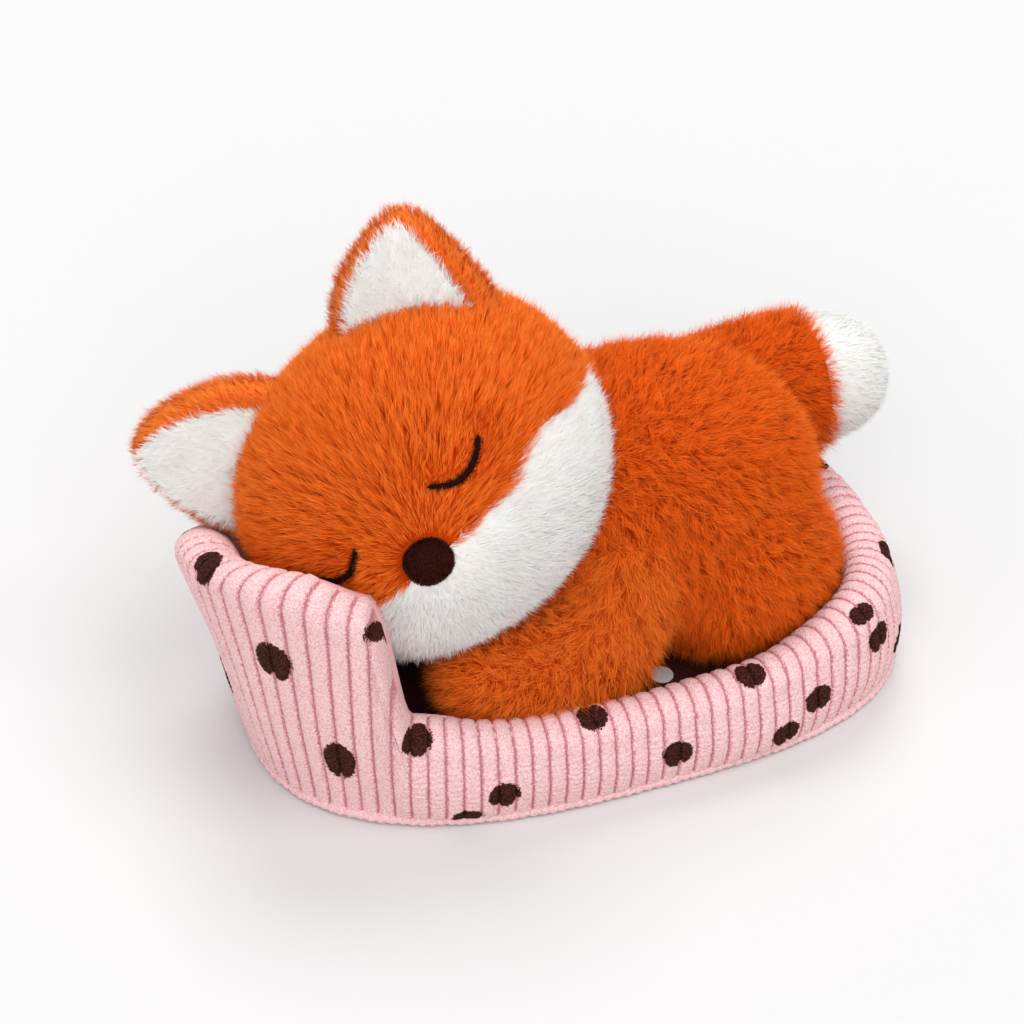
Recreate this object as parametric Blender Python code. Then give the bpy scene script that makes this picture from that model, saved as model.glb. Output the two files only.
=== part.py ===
# A sleeping plush fox that lies in a small padded bed of corduroy.
# Metres, +Z up. The bed stands on z = 0 with its long side along X: head end at -X, low entry at -Y.
# The origin is the middle of the bed's underside.

import math

import bmesh
import bpy
import numpy as np
from mathutils import Matrix, Vector

# Clearances
fit_gap = 0.0003  # between pieces that touch
limb_gap = 0.0020  # between a limb and what it moves past
seam_gap = 0.0003  # between two panels sewn edge to edge

# Bed, seen from above: a rectangle with full round corners
bed_length = 0.193
bed_width = 0.115
bed_head_power = 2.45  # 2 is an ellipse, more is squarer
bed_foot_power = 3.0  # Bed wall: a foam ring in a corduroy cover, smooth lining inside
wall_thickness = 0.0150
cover_thickness = 0.0010
lining_thickness = 0.0008
cover_lip = 0.0030  # how far the corduroy runs down inside
lip_gap = 0.0014  # from there to the lining
head_wall_height = 0.0860
head_wall_end_height = 0.0785  # at the cut where the low entry begins
head_rest_height = 0.0500  # where the head has pressed the wall down
front_wall_height = 0.0298
entry_height = 0.0350  # of the low wall where it meets the high one
foot_wall_height = 0.0400
back_wall_height = 0.0440
head_wall_lean = 0.0165
front_wall_lean = 0.0015
foot_wall_lean = -0.0040
wall_belly = 0.0020  # how far the padded wall swells half way up
wall_lean_power = 1.5  # 1 leans evenly, more leans mostly near the rim
cover_bottom = 0.0042

# Where each stretch of the wall begins and ends, in degrees round the outline
wall_turns = {
    "back": (40, 80),
    "rest": (90, 138),
    "high": (138, 202),
    "slope": (205, 222),
    "drop": (222, 232),
    "entry": (232, 262),
    "rise": (290, 330),
    "lean_out": (100, 176),
    "lean_back": (190, 238),
    "lean_in": (300, 350),
}

# Bed bottom
panel_thickness = 0.0012
board_thickness = 0.0045
cushion_edge = 0.0035
cushion_crown = 0.0030
welt_radius = 0.0018
welt_inset = 0.0008

# Torso
torso_centre = Vector((0.0235, 0.0040, 0.0545))
torso_radii = Vector((0.0485, 0.0370, 0.0410))
torso_power = 2.15
skin_thickness = 0.0012
neck_hole_radius = 0.0120
neck_hole_shares = (0.5, 1.3)  # of the torso's height and length: where the hole starts and ends

# Head
head_centre = Vector((-0.0405, 0.0040, 0.0800))
head_radii = Vector((0.0510, 0.0430, 0.0445))
head_power = 2.2
head_turn = -23.7  # degrees, about the upright axis
head_nod = -16.9
head_roll = -44.2
muzzle_height = 0.0050
muzzle_width = 24.0  # degrees
muzzle_dip = 12.0  # degrees below straight ahead
neck_axis = Vector((0.0090, 0.0040, 0.0970))

# Face
panel_top = -0.0080
panel_cheek_rise = 0.0050
panel_cheek_place = 0.0400
panel_line_shares = ((0.65, 0), (0.85, 0.75), (1.0, 1.0), (1.15, 0.4))  # of the cheek's place and rise
panel_back = 0.0100
nose_radii = Vector((0.0066, 0.0047, 0.0060))
nose_dip = 0.0067
nose_sink_share = 0.1  # of the nose's depth that lies in the face
eye_spacing = 0.0440
eye_level = 0.0080
eye_width = 0.0175
eye_sag = 0.0048
thread_radius = 0.0008

# Ears
ear_left_lean = 45.0  # degrees away from the middle of the head
ear_right_lean = 43.5
ear_left_reach = 0.0740  # from the middle of the head to the height of the tip
ear_right_reach = 0.0790
ear_root = 0.0280
ear_hinge_height = 0.0440  # of the fold above the middle of the head
ear_hinge_depth = 0.0075  # of the fold ahead of it
ear_left_shape = (0.060, 0.64, 0.0080)  # width, how much of it is lost towards the tip, shift of the tip
ear_right_shape = (0.054, 0.45, 0.0020)
ear_back_depth = 0.0060
ear_front_depth = 0.0040
ear_front_thickness = 0.0016
ear_left_cloth = (0.76, 0.90, 0.0030)  # white front: its width and height against the ear, its shift to the head
ear_right_cloth = (0.80, 0.97, -0.0030)
ear_behind_shares = (0.4, 0.72, 0.92)  # rings of the ear's round back
ear_ahead_shares = ((0.97, 0.6), (0.88, 1), (0.45, 1))  # rings of its flat front: width and depth
ear_cloth_shares = ((0.6, 0), (1, 0), (1, 0.5), (0.94, 1), (0.6, 1.5))  # rings of the white front
ear_cloth_crown_share = 1.6

# Front arms, as the path of their middle and its radii
arm_left_shoulder = Vector((0.0100, -0.0200, 0.0700))
arm_left_elbow = Vector((0.0080, -0.0290, 0.0160))
arm_left_paw = Vector((-0.0460, -0.0255, 0.0330))
arm_right_shoulder = Vector((0.0120, 0.0300, 0.0520))
arm_right_elbow = Vector((-0.0140, 0.0270, 0.0340))
arm_right_paw = Vector((-0.0480, 0.0220, 0.0270))
arm_radius = 0.0160
arm_right_radius = 0.0120
arm_root_share = 0.8
arm_seat_angle = 30.0  # degrees, size of the shoulder's seat on the torso
arm_seat_share = 0.3  # of it that fits close
limb_full_share = 0.62  # of a limb's length where it is widest
limb_root_end_share = 0.12  # of its length over which its root rounds off
limb_end_power = 2.6  # 2 ends round, more ends blunter
arm_left_joint = Vector((0.0080, -0.0240, 0.0800))
arm_right_joint = Vector((0.0080, 0.0300, 0.0640))

# Haunches
haunch_left_centre = Vector((0.0450, -0.0125, 0.0405))
haunch_left_radii = Vector((0.0290, 0.0240, 0.0275))
haunch_right_centre = Vector((0.0430, 0.0175, 0.0380))  # the far one has less room
haunch_right_radii = Vector((0.0260, 0.0180, 0.0250))
haunch_power = 2.1

# Tail
tail_root = Vector((0.0380, 0.0290, 0.0620))
tail_bend = Vector((0.0680, 0.0340, 0.0580))
tail_end = Vector((0.1110, 0.0320, 0.0590))
tail_radius = 0.0185
tail_root_share = 0.7
tail_white_share = 0.72
tail_joint = Vector((0.0360, 0.0300, 0.0800))

# How fine the surfaces are cut
wall_side_shares = (0.35, 0.7)
rim_shares = (1.0, 1.2, 1.4, 1.6, 1.8, 2.0)
foam_foot_share = 0.06
least_station_gap = 0.8  # degrees
welt_sides = 8
cushion_steps = 6
stitch_steps = 10
ear_points = 28
step_share = 0.01  # for the direction of a path
sharp_angle = 40.0  # degrees above which an edge stays sharp
wall_stations = 60
drop_stations = 11
ball_rings = 16
ball_segments = 28
nose_rings = 8
nose_segments = 16
haunch_rings = 12
haunch_segments = 20
limb_rings = 12
limb_segments = 16


def clearScene():
    for thing in list(bpy.data.objects):
        bpy.data.objects.remove(thing, do_unlink=True)


def makeMaterial(name, colour, roughness):
    material = bpy.data.materials.new(name)
    material.use_nodes = True
    shader = material.node_tree.nodes["Principled BSDF"]
    shader.inputs["Base Color"].default_value = (*colour, 1)
    shader.inputs["Roughness"].default_value = roughness
    shader.inputs["Metallic"].default_value = 0
    return material


def makeObject(name, points, faces, material, parent=None):
    """Makes an object from world points; its origin goes to its parent's place."""
    origin = parent.location.copy() if parent else Vector()
    mesh = bpy.data.meshes.new(name)
    mesh.from_pydata([Vector(p) - origin for p in points], [], faces)
    solid = bmesh.new()
    solid.from_mesh(mesh)
    bmesh.ops.recalc_face_normals(solid, faces=solid.faces)
    solid.to_mesh(mesh)
    solid.free()
    mesh.shade_smooth()
    mesh.set_sharp_from_angle(angle=math.radians(sharp_angle))
    mesh.materials.append(material)
    thing = bpy.data.objects.new(name, mesh)
    bpy.context.scene.collection.objects.link(thing)
    thing.parent = parent
    return thing


def makeJoint(name, place):
    joint = bpy.data.objects.new(name, None)
    joint.location = place
    bpy.context.scene.collection.objects.link(joint)
    return joint


def cut(thing, cutter, how="DIFFERENCE"):
    step = thing.modifiers.new(cutter.name, "BOOLEAN")
    step.operation = how
    step.object = cutter


def asCutter(thing):
    thing.hide_render = True
    thing.display_type = "WIRE"
    return thing


# Shapes


def ballFaces(rings, columns):
    """Faces of rings of points between a first and a last pole."""
    faces = []
    last = rings * columns + 1
    for j in range(columns):
        b = (j + 1) % columns
        faces.append((0, 1 + j, 1 + b))
        faces.append((last, last - columns + b, last - columns + j))
    for i in range(rings - 1):
        for j in range(columns):
            b = (j + 1) % columns
            low, high = 1 + i * columns, 1 + (i + 1) * columns
            faces.append((low + j, high + j, high + b, low + b))
    return faces


def ballDirections(rings, columns):
    """Unit directions: one pole, the rings between, the other pole."""
    found = [Vector((0, 0, -1))]
    for i in range(1, rings + 1):
        tilt = math.pi * i / (rings + 1) - math.pi / 2
        for j in range(columns):
            turn = math.tau * j / columns
            flat = math.cos(tilt)
            found.append(Vector((flat * math.cos(turn), flat * math.sin(turn), math.sin(tilt))))
    return found + [Vector((0, 0, 1))]


def swollen(direction, radii, power):
    """Where a direction meets a ball of three radii, squarer than an ellipsoid as power passes 2."""
    terms = sum(abs(d / r) ** power for d, r in zip(direction, radii))
    return direction * terms ** (-1 / power)


def grown(radii, by):
    return Vector([r + by for r in radii])


def makeBall(name, centre, turned, shape, material, parent=None, rings=ball_rings, columns=ball_segments):
    """A closed ball whose skin is shape(direction), turned and moved to its centre."""
    points = [centre + turned @ shape(d) for d in ballDirections(rings, columns)]
    return makeObject(name, points, ballFaces(rings, columns), material, parent)


def bent(start, middle, end, share):
    """A point on the curve that leaves start, passes by middle and comes to end."""
    first = start.lerp(middle, share)
    second = middle.lerp(end, share)
    return first.lerp(second, share)


def limbRadius(share, root, widest):
    """A limb's radius along its length: it swells from its root and closes in a round end."""
    swell = root + (widest - root) * math.sin(math.pi / 2 * min(1, share / limb_full_share))
    past = max(0, (share - limb_full_share) / (1 - limb_full_share))
    before = max(0, 1 - share / limb_root_end_share)
    close = ((1 - past**limb_end_power) * (1 - before**limb_end_power)) ** (1 / limb_end_power)
    return swell * close


def limbShares(first, last, rings):
    """Shares of the path where the rings are: closer together at both ends."""
    turns = [math.pi * (i + 1) / (rings + 1) for i in range(rings)]
    shares = [first + (last - first) * (1 - math.cos(turn)) / 2 for turn in turns]
    if first > 0:
        shares[0] = first
    if last < 1:
        shares[-1] = last
    return shares


def makeLimb(name, path, radii, material, parent, first=0, last=1, rings=limb_rings):
    """A limb as rings square to its path. It closes round, or flat where it is cut short."""
    columns = limb_segments
    points = [bent(*path, first)]
    for share in limbShares(first, last, rings):
        here = bent(*path, share)
        next, before = min(1, share + step_share), max(0, share - step_share)
        ahead = (bent(*path, next) - bent(*path, before)).normalized()
        side = ahead.cross(Vector((0, 0, 1))).normalized()
        top = side.cross(ahead)
        radius = limbRadius(share, *radii)
        for j in range(columns):
            turn = math.tau * j / columns
            points.append(here + side * radius * math.cos(turn) + top * radius * math.sin(turn))
    points.append(bent(*path, last))
    return makeObject(name, points, ballFaces(rings, columns), material, parent)


def makeTube(name, line, radius, material, parent, columns=8):
    """A round thread along a line of points, with flat ends."""
    points = [line[0]]
    for i, here in enumerate(line):
        ahead = (line[min(i + 1, len(line) - 1)] - line[max(i - 1, 0)]).normalized()
        side = ahead.orthogonal() if i == 0 else side - ahead * side.dot(ahead)
        side.normalize()
        top = side.cross(ahead)
        for j in range(columns):
            turn = math.tau * j / columns
            points.append(here + side * radius * math.cos(turn) + top * radius * math.sin(turn))
    points.append(line[-1])
    return makeObject(name, points, ballFaces(len(line), columns), material, parent)


# Bed


def outlinePoint(turn, inset=0):
    """A point of the bed's outline from above and the way out of it. turn runs from +X by way of +Y."""
    c, s = math.cos(turn), math.sin(turn)
    a, b = bed_length / 2, bed_width / 2
    n = bed_foot_power if c > 0 else bed_head_power
    x = a * math.copysign(abs(c) ** (2 / n), c)
    y = b * math.copysign(abs(s) ** (2 / n), s)
    outX = math.copysign(abs(x / a) ** (n - 1) / a, c)
    outY = math.copysign(abs(y / b) ** (n - 1) / b, s)
    out = Vector((outX, outY, 0)).normalized()
    return Vector((x, y, 0)) - out * inset, out


def outlineTurns():
    """Turns round the outline an even length apart, with more of them where the head wall drops."""
    fine = np.linspace(0, math.tau, 2001)
    places = np.array([outlinePoint(t)[0][:2] for t in fine])
    length = np.concatenate([[0], np.cumsum(np.linalg.norm(np.diff(places, axis=0), axis=1))])
    even = np.interp(np.arange(wall_stations) / wall_stations * length[-1], length, fine)
    drop = np.radians(np.linspace(*wall_turns["drop"], drop_stations + 2)[1:-1])
    keep = [t for t in even if np.min(np.abs(drop - t)) > math.radians(least_station_gap)]
    return sorted([*keep, *drop])


def smooth(share):
    share = min(1, max(0, share))
    return share * share * (3 - 2 * share)


def between(turn, start, end):
    return smooth((turn - start) / (end - start))


def wallHeight(turn):
    """The wall's height round the bed: low entry, high head wall, a dip where the head lies on it."""
    degrees = math.degrees(turn) % 360
    height = foot_wall_height
    height += (back_wall_height - foot_wall_height) * between(degrees, *wall_turns["back"])
    height += (head_rest_height - back_wall_height) * between(degrees, *wall_turns["rest"])
    height += (head_wall_height - head_rest_height) * between(degrees, *wall_turns["high"])
    height += (head_wall_end_height - head_wall_height) * between(degrees, *wall_turns["slope"])
    height += (entry_height - head_wall_end_height) * between(degrees, *wall_turns["drop"])
    height += (front_wall_height - entry_height) * between(degrees, *wall_turns["entry"])
    height += (foot_wall_height - front_wall_height) * between(degrees, *wall_turns["rise"])
    return height


def wallLean(turn):
    """How far the rim stands out past the foot of the wall."""
    degrees = math.degrees(turn) % 360
    lean = foot_wall_lean
    lean += (head_wall_lean - foot_wall_lean) * between(degrees, *wall_turns["lean_out"])
    lean += (front_wall_lean - head_wall_lean) * between(degrees, *wall_turns["lean_back"])
    lean += (foot_wall_lean - front_wall_lean) * between(degrees, *wall_turns["lean_in"])
    return lean


def wallLine(turn, shares):
    """Points on the wall's skin at shares of the way over the rim.

    Share 0 is the outer foot, 1 the outer shoulder, 2 the inner shoulder and 3 the inner foot.
    """
    foot, out = outlinePoint(turn)
    height = wallHeight(turn)
    lean = wallLean(turn)
    half = wall_thickness / 2
    shoulder = height - half
    points = []
    for share in shares:
        if share < 1:
            inset = -wall_belly * math.sin(math.pi * share)
            z = cover_bottom + (shoulder - cover_bottom) * share
        elif share <= 2:
            angle = math.pi * (share - 1)
            inset = half - half * math.cos(angle)
            z = shoulder + half * math.sin(angle)
        else:
            inset = wall_thickness
            z = shoulder + (floorHeight() - shoulder) * (share - 2)
        rise = z / height
        points.append(foot - out * (inset - lean * rise**wall_lean_power) + Vector((0, 0, z)))
    return points


def floorHeight():
    return panel_thickness + board_thickness + 2 * fit_gap


def wallShares(turn):
    """Shares of the wall's line where its surfaces have points, and which of them each piece uses."""
    drop = wallHeight(turn) - wall_thickness / 2 - floorHeight()
    lip = 2 + cover_lip / drop
    top = lip + lip_gap / drop
    return [0, foam_foot_share, *wall_side_shares, *rim_shares, lip, top, (top + 3) / 2, 3]


def ringFaces(rows, columns, turned=None):
    """Triangles of a grid of points that closes on itself both ways.

    From column turned on they slant the other way, so that a skin and its back are split alike.
    """
    faces = []
    for i in range(rows):
        for j in range(columns):
            a, b = (i + 1) % rows, (j + 1) % columns
            near, far = (i * columns + j, i * columns + b), (a * columns + j, a * columns + b)
            if turned is not None and j >= turned:
                faces += [(near[0], far[0], near[1]), (far[0], far[1], near[1])]
            else:
                faces += [(near[0], far[0], far[1]), (near[0], far[1], near[1])]
    return faces


def makeRing(name, sections, material, turned=None):
    points = [Vector(p) for section in sections for p in section]
    return makeObject(name, points, ringFaces(len(sections), len(sections[0]), turned), material)


def makeWall():
    """Cover, lining and foam are one surface at three depths, so that they lie evenly on each other."""
    turns = outlineTurns()
    skin = np.array([wallLine(turn, wallShares(turn)) for turn in turns])
    along = np.roll(skin, -1, 0) - np.roll(skin, 1, 0)
    out = np.cross(along, np.gradient(skin, axis=1))
    out /= np.linalg.norm(out, axis=2, keepdims=True)
    count = skin.shape[1]
    coverPlaces = [0, *range(2, count - 3)]
    liningPlaces = list(range(count - 3, count))
    foamPlaces = [*range(1, count - 4), count - 2, count - 1]

    def doubled(places, thickness):
        outer = skin[:, places]
        inner = (skin - out * thickness)[:, places]
        return np.concatenate([outer, inner[:, ::-1]], axis=1)

    makeRing("bed_wall_cover", doubled(coverPlaces, cover_thickness), corduroy, len(coverPlaces))
    makeRing("bed_wall_lining", doubled(liningPlaces, lining_thickness), liningCloth, len(liningPlaces))
    under = cover_thickness + fit_gap
    core = (skin - out * under)[:, foamPlaces]
    foam = []
    for turn, line in zip(turns, core):
        foot, away = outlinePoint(turn)
        seat = Vector((0, 0, panel_thickness + fit_gap))
        clear = foot - away * (welt_inset + welt_radius + fit_gap)
        inner = foot - away * (wall_thickness - under)
        foam.append([clear + seat, clear + Vector((0, 0, cover_bottom)), *line, inner + seat])
    makeRing("bed_wall_foam", foam, foamStuff)


def makePlate(name, inset, low, high, material, crown=0, steps=1):
    """A plate of the bed's outline, with a crowned top if asked."""
    turns = outlineTurns()
    columns = len(turns)
    rim = [outlinePoint(t, inset)[0] for t in turns]
    points = [Vector((0, 0, low))]
    points += [p + Vector((0, 0, low)) for p in rim]
    for i in range(steps):
        share = 1 - i / steps
        lift = high + crown * math.sqrt(1 - share**2)
        points += [p * share + Vector((0, 0, lift)) for p in rim]
    points.append(Vector((0, 0, high + crown)))
    return makeObject(name, points, ballFaces(steps + 1, columns), material)


def makeBottom():
    inner = wall_thickness + fit_gap
    makePlate("bed_bottom_panel", welt_inset + welt_radius + fit_gap, 0, panel_thickness, corduroy)
    low = panel_thickness + fit_gap
    makePlate("bed_base_board", inner, low, low + board_thickness, foamStuff)
    low = floorHeight() + fit_gap
    high = low + cushion_edge
    makePlate("bed_floor_cushion", inner + fit_gap, low, high, cushionCloth, cushion_crown, cushion_steps)
    turns = outlineTurns()
    sections = []
    for turn in turns:
        middle, out = outlinePoint(turn, welt_inset)
        section = []
        for j in range(welt_sides):
            angle = math.tau * j / welt_sides
            away = out * math.cos(angle) + Vector((0, 0, 1)) * math.sin(angle)
            section.append(middle + Vector((0, 0, welt_radius + fit_gap)) + away * welt_radius)
        sections.append(section)
    makeRing("bed_base_welt", sections, corduroy)


# Fox


def headTurned():
    turn = Matrix.Rotation(math.radians(head_turn), 3, "Z")
    nod = Matrix.Rotation(math.radians(head_nod), 3, "X")
    roll = Matrix.Rotation(math.radians(head_roll), 3, "Y")
    return turn @ nod @ roll


def headShape(direction, by=0):
    """The head's skin in its own frame, face to -Y: a broad ball with a muzzle that stands out."""
    dip = math.radians(muzzle_dip)
    ahead = Vector((0, -math.cos(dip), -math.sin(dip)))
    off = direction.angle(ahead) / math.radians(muzzle_width)
    bump = muzzle_height * math.exp(-(off**2))
    return swollen(direction, grown(head_radii, by), head_power) + direction * bump


def headPoint(right, up, by):
    """The point of the head's skin that lies ahead of a place given to the right and up, in the world."""
    direction = Vector((right, -head_radii.y, up)).normalized()
    for _ in range(8):
        here = headShape(direction, by)
        direction = Vector((right, here.y, up)).normalized()
    return head_centre + headTurned() @ headShape(direction, by)


def makeTorso():
    still = Matrix.Identity(3)

    def skin(by):
        return lambda d: swollen(d, grown(torso_radii, by), torso_power)

    cover = makeBall("torso_cover", torso_centre, still, skin(0), orangePlush)
    hollow = asCutter(makeBall("torso_hollow", torso_centre, still, skin(-skin_thickness), orangePlush))
    cut(cover, hollow)
    toHead = (head_centre - torso_centre).normalized()
    start, end = neck_hole_shares
    line = [torso_centre + toHead * torso_radii.z * start, torso_centre + toHead * torso_radii.x * end]
    cut(cover, asCutter(makeTube("neck_hole", line, neck_hole_radius, orangePlush, None, 16)))
    inside = skin_thickness + fit_gap
    makeBall("torso_stuffing", torso_centre, still, skin(-inside), fibre)
    return asCutter(makeBall("torso_space", torso_centre, still, skin(fit_gap), orangePlush))


def makePanelSpace(name, by):
    """The space of the white face panel: below a line across the muzzle that rises at the cheeks."""
    reach = 2 * head_radii.x
    line = [(-reach, panel_top)]
    for side in (-1, 1):
        for place, rise in panel_line_shares[::side]:
            line.append((side * place * panel_cheek_place, panel_top + rise * panel_cheek_rise))
    line.append((reach, panel_top))
    line = [(x, z + by) for x, z in line]
    outline = [(-reach, -reach), *line, (reach, -reach)]
    turned = headTurned()
    points = []
    for y in (-reach, panel_back + by):
        points += [head_centre + turned @ Vector((x, y, z)) for x, z in outline]
    count = len(outline)
    faces = [tuple(range(count)), tuple(range(count, 2 * count))]
    faces += [(i, (i + 1) % count, count + (i + 1) % count, count + i) for i in range(count)]
    return asCutter(makeObject(name, points, faces, whitePlush))


def makeHead(torsoSpace, joint):
    turned = headTurned()

    def skin(by):
        return lambda d: headShape(d, by)

    hollow = asCutter(makeBall("head_hollow", head_centre, turned, skin(-skin_thickness), orangePlush))
    cover = makeBall("head_cover", head_centre, turned, skin(0), orangePlush, joint)
    cut(cover, hollow)
    cut(cover, torsoSpace)
    cut(cover, makePanelSpace("panel_space", seam_gap))
    panel = makeBall("face_panel", head_centre, turned, skin(0), whitePlush, joint)
    cut(panel, hollow)
    cut(panel, torsoSpace)
    cut(panel, makePanelSpace("panel_shape", 0), "INTERSECT")
    inside = skin_thickness + fit_gap
    stuffing = makeBall("head_stuffing", head_centre, turned, skin(-inside), fibre, joint)
    cut(stuffing, torsoSpace)
    return asCutter(makeBall("head_space", head_centre, turned, skin(fit_gap), orangePlush))


def makeFace(headSpace, joint):
    middle = headPoint(0, -nose_dip, -nose_radii.y * nose_sink_share)

    def skin(direction):
        return swollen(direction, nose_radii, 2)

    nose = makeBall("nose", middle, headTurned(), skin, noseStuff, joint, nose_rings, nose_segments)
    cut(nose, headSpace)
    for name, side in (("eye_left", 1), ("eye_right", -1)):
        line = []
        for i in range(stitch_steps + 1):
            across = 2 * i / stitch_steps - 1
            right = side * eye_spacing / 2 + across * eye_width / 2
            up = eye_level - eye_sag * (1 - across**2)
            line.append(headPoint(right, up, fit_gap + thread_radius))
        makeTube(name, line, thread_radius, thread, joint, 6)


def earOutline(height, shape):
    """The ear's outline in its own plane: a triangle with bowed sides and a round tip set to one side."""
    width, taper, tipShift = shape
    points = []
    for i in range(ear_points):
        angle = math.tau * i / ear_points
        up = (1 - math.cos(angle)) / 2
        wide = width / 2 * math.sin(angle) * (1 - taper * up)
        shift = tipShift * up
        points.append((wide - shift, height * up))
    return points


def earFrame(side, degrees):
    lean = Matrix.Rotation(math.radians(degrees * side), 3, "Y")
    return headTurned() @ lean


def makeEar(name, side, degrees, reach, shape, cloth, joint, headSpace):
    """An ear's orange back, thick and round behind, and the white plush front that lies flat on it."""
    turned = earFrame(side, degrees)
    middle = (reach - ear_root) / 2
    outline = earOutline(reach - ear_root, shape)

    def place(point, share, deep, shift=0):
        wide, high = point[0] * share - shift, middle + (point[1] - middle) * share
        return head_centre + turned @ Vector((wide * side, deep, ear_root + high))

    points = [place((0, middle), 0, ear_back_depth)]
    for share in ear_behind_shares:
        deep = ear_back_depth * math.sqrt(1 - share**2)
        points += [place(p, share, deep) for p in outline]
    points += [place(p, 1, 0) for p in outline]
    for share, deep_share in ear_ahead_shares:
        points += [place(p, share, -ear_front_depth * deep_share) for p in outline]
    points.append(place((0, middle), 0, -ear_front_depth))
    rings = len(ear_behind_shares) + 1 + len(ear_ahead_shares)
    back = makeObject(name + "_back", points, ballFaces(rings, len(outline)), orangePlush, joint)
    cut(back, headSpace)

    low = -ear_front_depth - fit_gap
    across, up, shift = cloth
    outline = [(wide * across, middle + (high - middle) * up) for wide, high in outline]
    points = [place((0, middle), 0, low, shift)]
    for share, deep_share in ear_cloth_shares:
        deep = low - ear_front_thickness * deep_share
        points += [place(p, share, deep, shift) for p in outline]
    crown = low - ear_front_thickness * ear_cloth_crown_share
    points.append(place((0, middle), 0, crown, shift))
    rings = len(ear_cloth_shares)
    front = makeObject(name + "_front", points, ballFaces(rings, len(outline)), whitePlush, joint)
    cut(front, headSpace)


def makeEars(headSpace, neck):
    """Each ear folds forward about the front edge of its root."""
    for name, side, degrees, reach, shape, cloth in (
        ("ear_left", 1, ear_left_lean, ear_left_reach, ear_left_shape, ear_left_cloth),
        ("ear_right", -1, ear_right_lean, ear_right_reach, ear_right_shape, ear_right_cloth),
    ):
        root = Vector((0, -ear_hinge_depth, ear_hinge_height))
        place = head_centre + earFrame(side, degrees) @ root
        joint = makeJoint(name + "_joint", place)
        makeEar(name, side, degrees, reach, shape, cloth, joint, headSpace)


def makeHaunches(torsoSpace):
    spaces = []
    still = Matrix.Identity(3)
    for name, centre, radii in (
        ("leg_left", haunch_left_centre, haunch_left_radii),
        ("leg_right", haunch_right_centre, haunch_right_radii),
    ):

        def skin(by):
            return lambda d: swollen(d, grown(radii, by), haunch_power)

        leg = makeBall(name, centre, still, skin(0), orangePlush, None, haunch_rings, haunch_segments)
        cut(leg, torsoSpace)
        for space in spaces:
            cut(leg, space)
        rings, columns = haunch_rings, haunch_segments
        around = makeBall(name + "_space", centre, still, skin(limb_gap), orangePlush, None, rings, columns)
        spaces.append(asCutter(around))
    return spaces


def shoulderSpace(name, shoulder):
    """The torso grown by a gap that opens away from the shoulder, so that the arm can swing."""
    towards = (shoulder - torso_centre).normalized()

    def skin(direction):
        off = direction.angle(towards) / math.radians(arm_seat_angle)
        gap = fit_gap + (limb_gap - fit_gap) * smooth(off - arm_seat_share)
        return swollen(direction, grown(torso_radii, gap), torso_power)

    return asCutter(makeBall(name, torso_centre, Matrix.Identity(3), skin, orangePlush))


def makeArms(haunchSpaces):
    turned = headTurned()
    clear = asCutter(
        makeBall("cheek_space", head_centre, turned, lambda d: headShape(d, limb_gap), orangePlush)
    )
    left = ("arm_left", arm_left_shoulder, arm_left_elbow, arm_left_paw)
    right = ("arm_right", arm_right_shoulder, arm_right_elbow, arm_right_paw)
    for (name, shoulder, elbow, paw), place, radius in (
        (left, arm_left_joint, arm_radius),
        (right, arm_right_joint, arm_right_radius),
    ):
        joint = makeJoint(name + "_joint", place)
        radii = (radius * arm_root_share, radius)
        arm = makeLimb(name, (shoulder, elbow, paw), radii, orangePlush, joint)
        cut(arm, shoulderSpace(name + "_seat", place))
        cut(arm, clear)
        for space in haunchSpaces:
            cut(arm, space)


def makeTail(torsoSpace, haunchSpaces):
    """The tail lies over the rim; its white tip is sewn on square to its length."""
    joint = makeJoint("tail_joint", tail_joint)
    path = (tail_root, tail_bend, tail_end)
    radii = (tail_radius * tail_root_share, tail_radius)
    tail = makeLimb("tail", path, radii, orangePlush, joint, 0, tail_white_share)
    length = (tail_end - tail_root).length
    start = tail_white_share + seam_gap / length
    makeLimb("tail_tip", path, radii, whitePlush, joint, start, 1)
    for space in (torsoSpace, *haunchSpaces):
        cut(tail, space)


clearScene()
corduroy = makeMaterial("pink_corduroy", (0.87, 0.50, 0.53), 0.85)
liningCloth = makeMaterial("pink_lining", (0.78, 0.36, 0.39), 0.8)
cushionCloth = makeMaterial("brown_cushion_cloth", (0.06, 0.02, 0.018), 0.9)
foamStuff = makeMaterial("foam", (0.8, 0.78, 0.7), 0.9)
orangePlush = makeMaterial("orange_plush", (0.72, 0.13, 0.015), 0.9)
whitePlush = makeMaterial("white_plush", (0.88, 0.86, 0.82), 0.9)
fibre = makeMaterial("stuffing_fibre", (0.85, 0.85, 0.83), 0.95)
noseStuff = makeMaterial("brown_nose_plush", (0.04, 0.012, 0.01), 0.8)
thread = makeMaterial("brown_thread", (0.03, 0.01, 0.008), 0.6)

makeWall()
makeBottom()
torsoSpace = makeTorso()
neck = makeJoint("neck_joint", neck_axis)
headSpace = makeHead(torsoSpace, neck)
makeFace(headSpace, neck)
makeEars(headSpace, neck)
haunchSpaces = makeHaunches(torsoSpace)
makeArms(haunchSpaces)
makeTail(torsoSpace, haunchSpaces)
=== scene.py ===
import math

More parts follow.
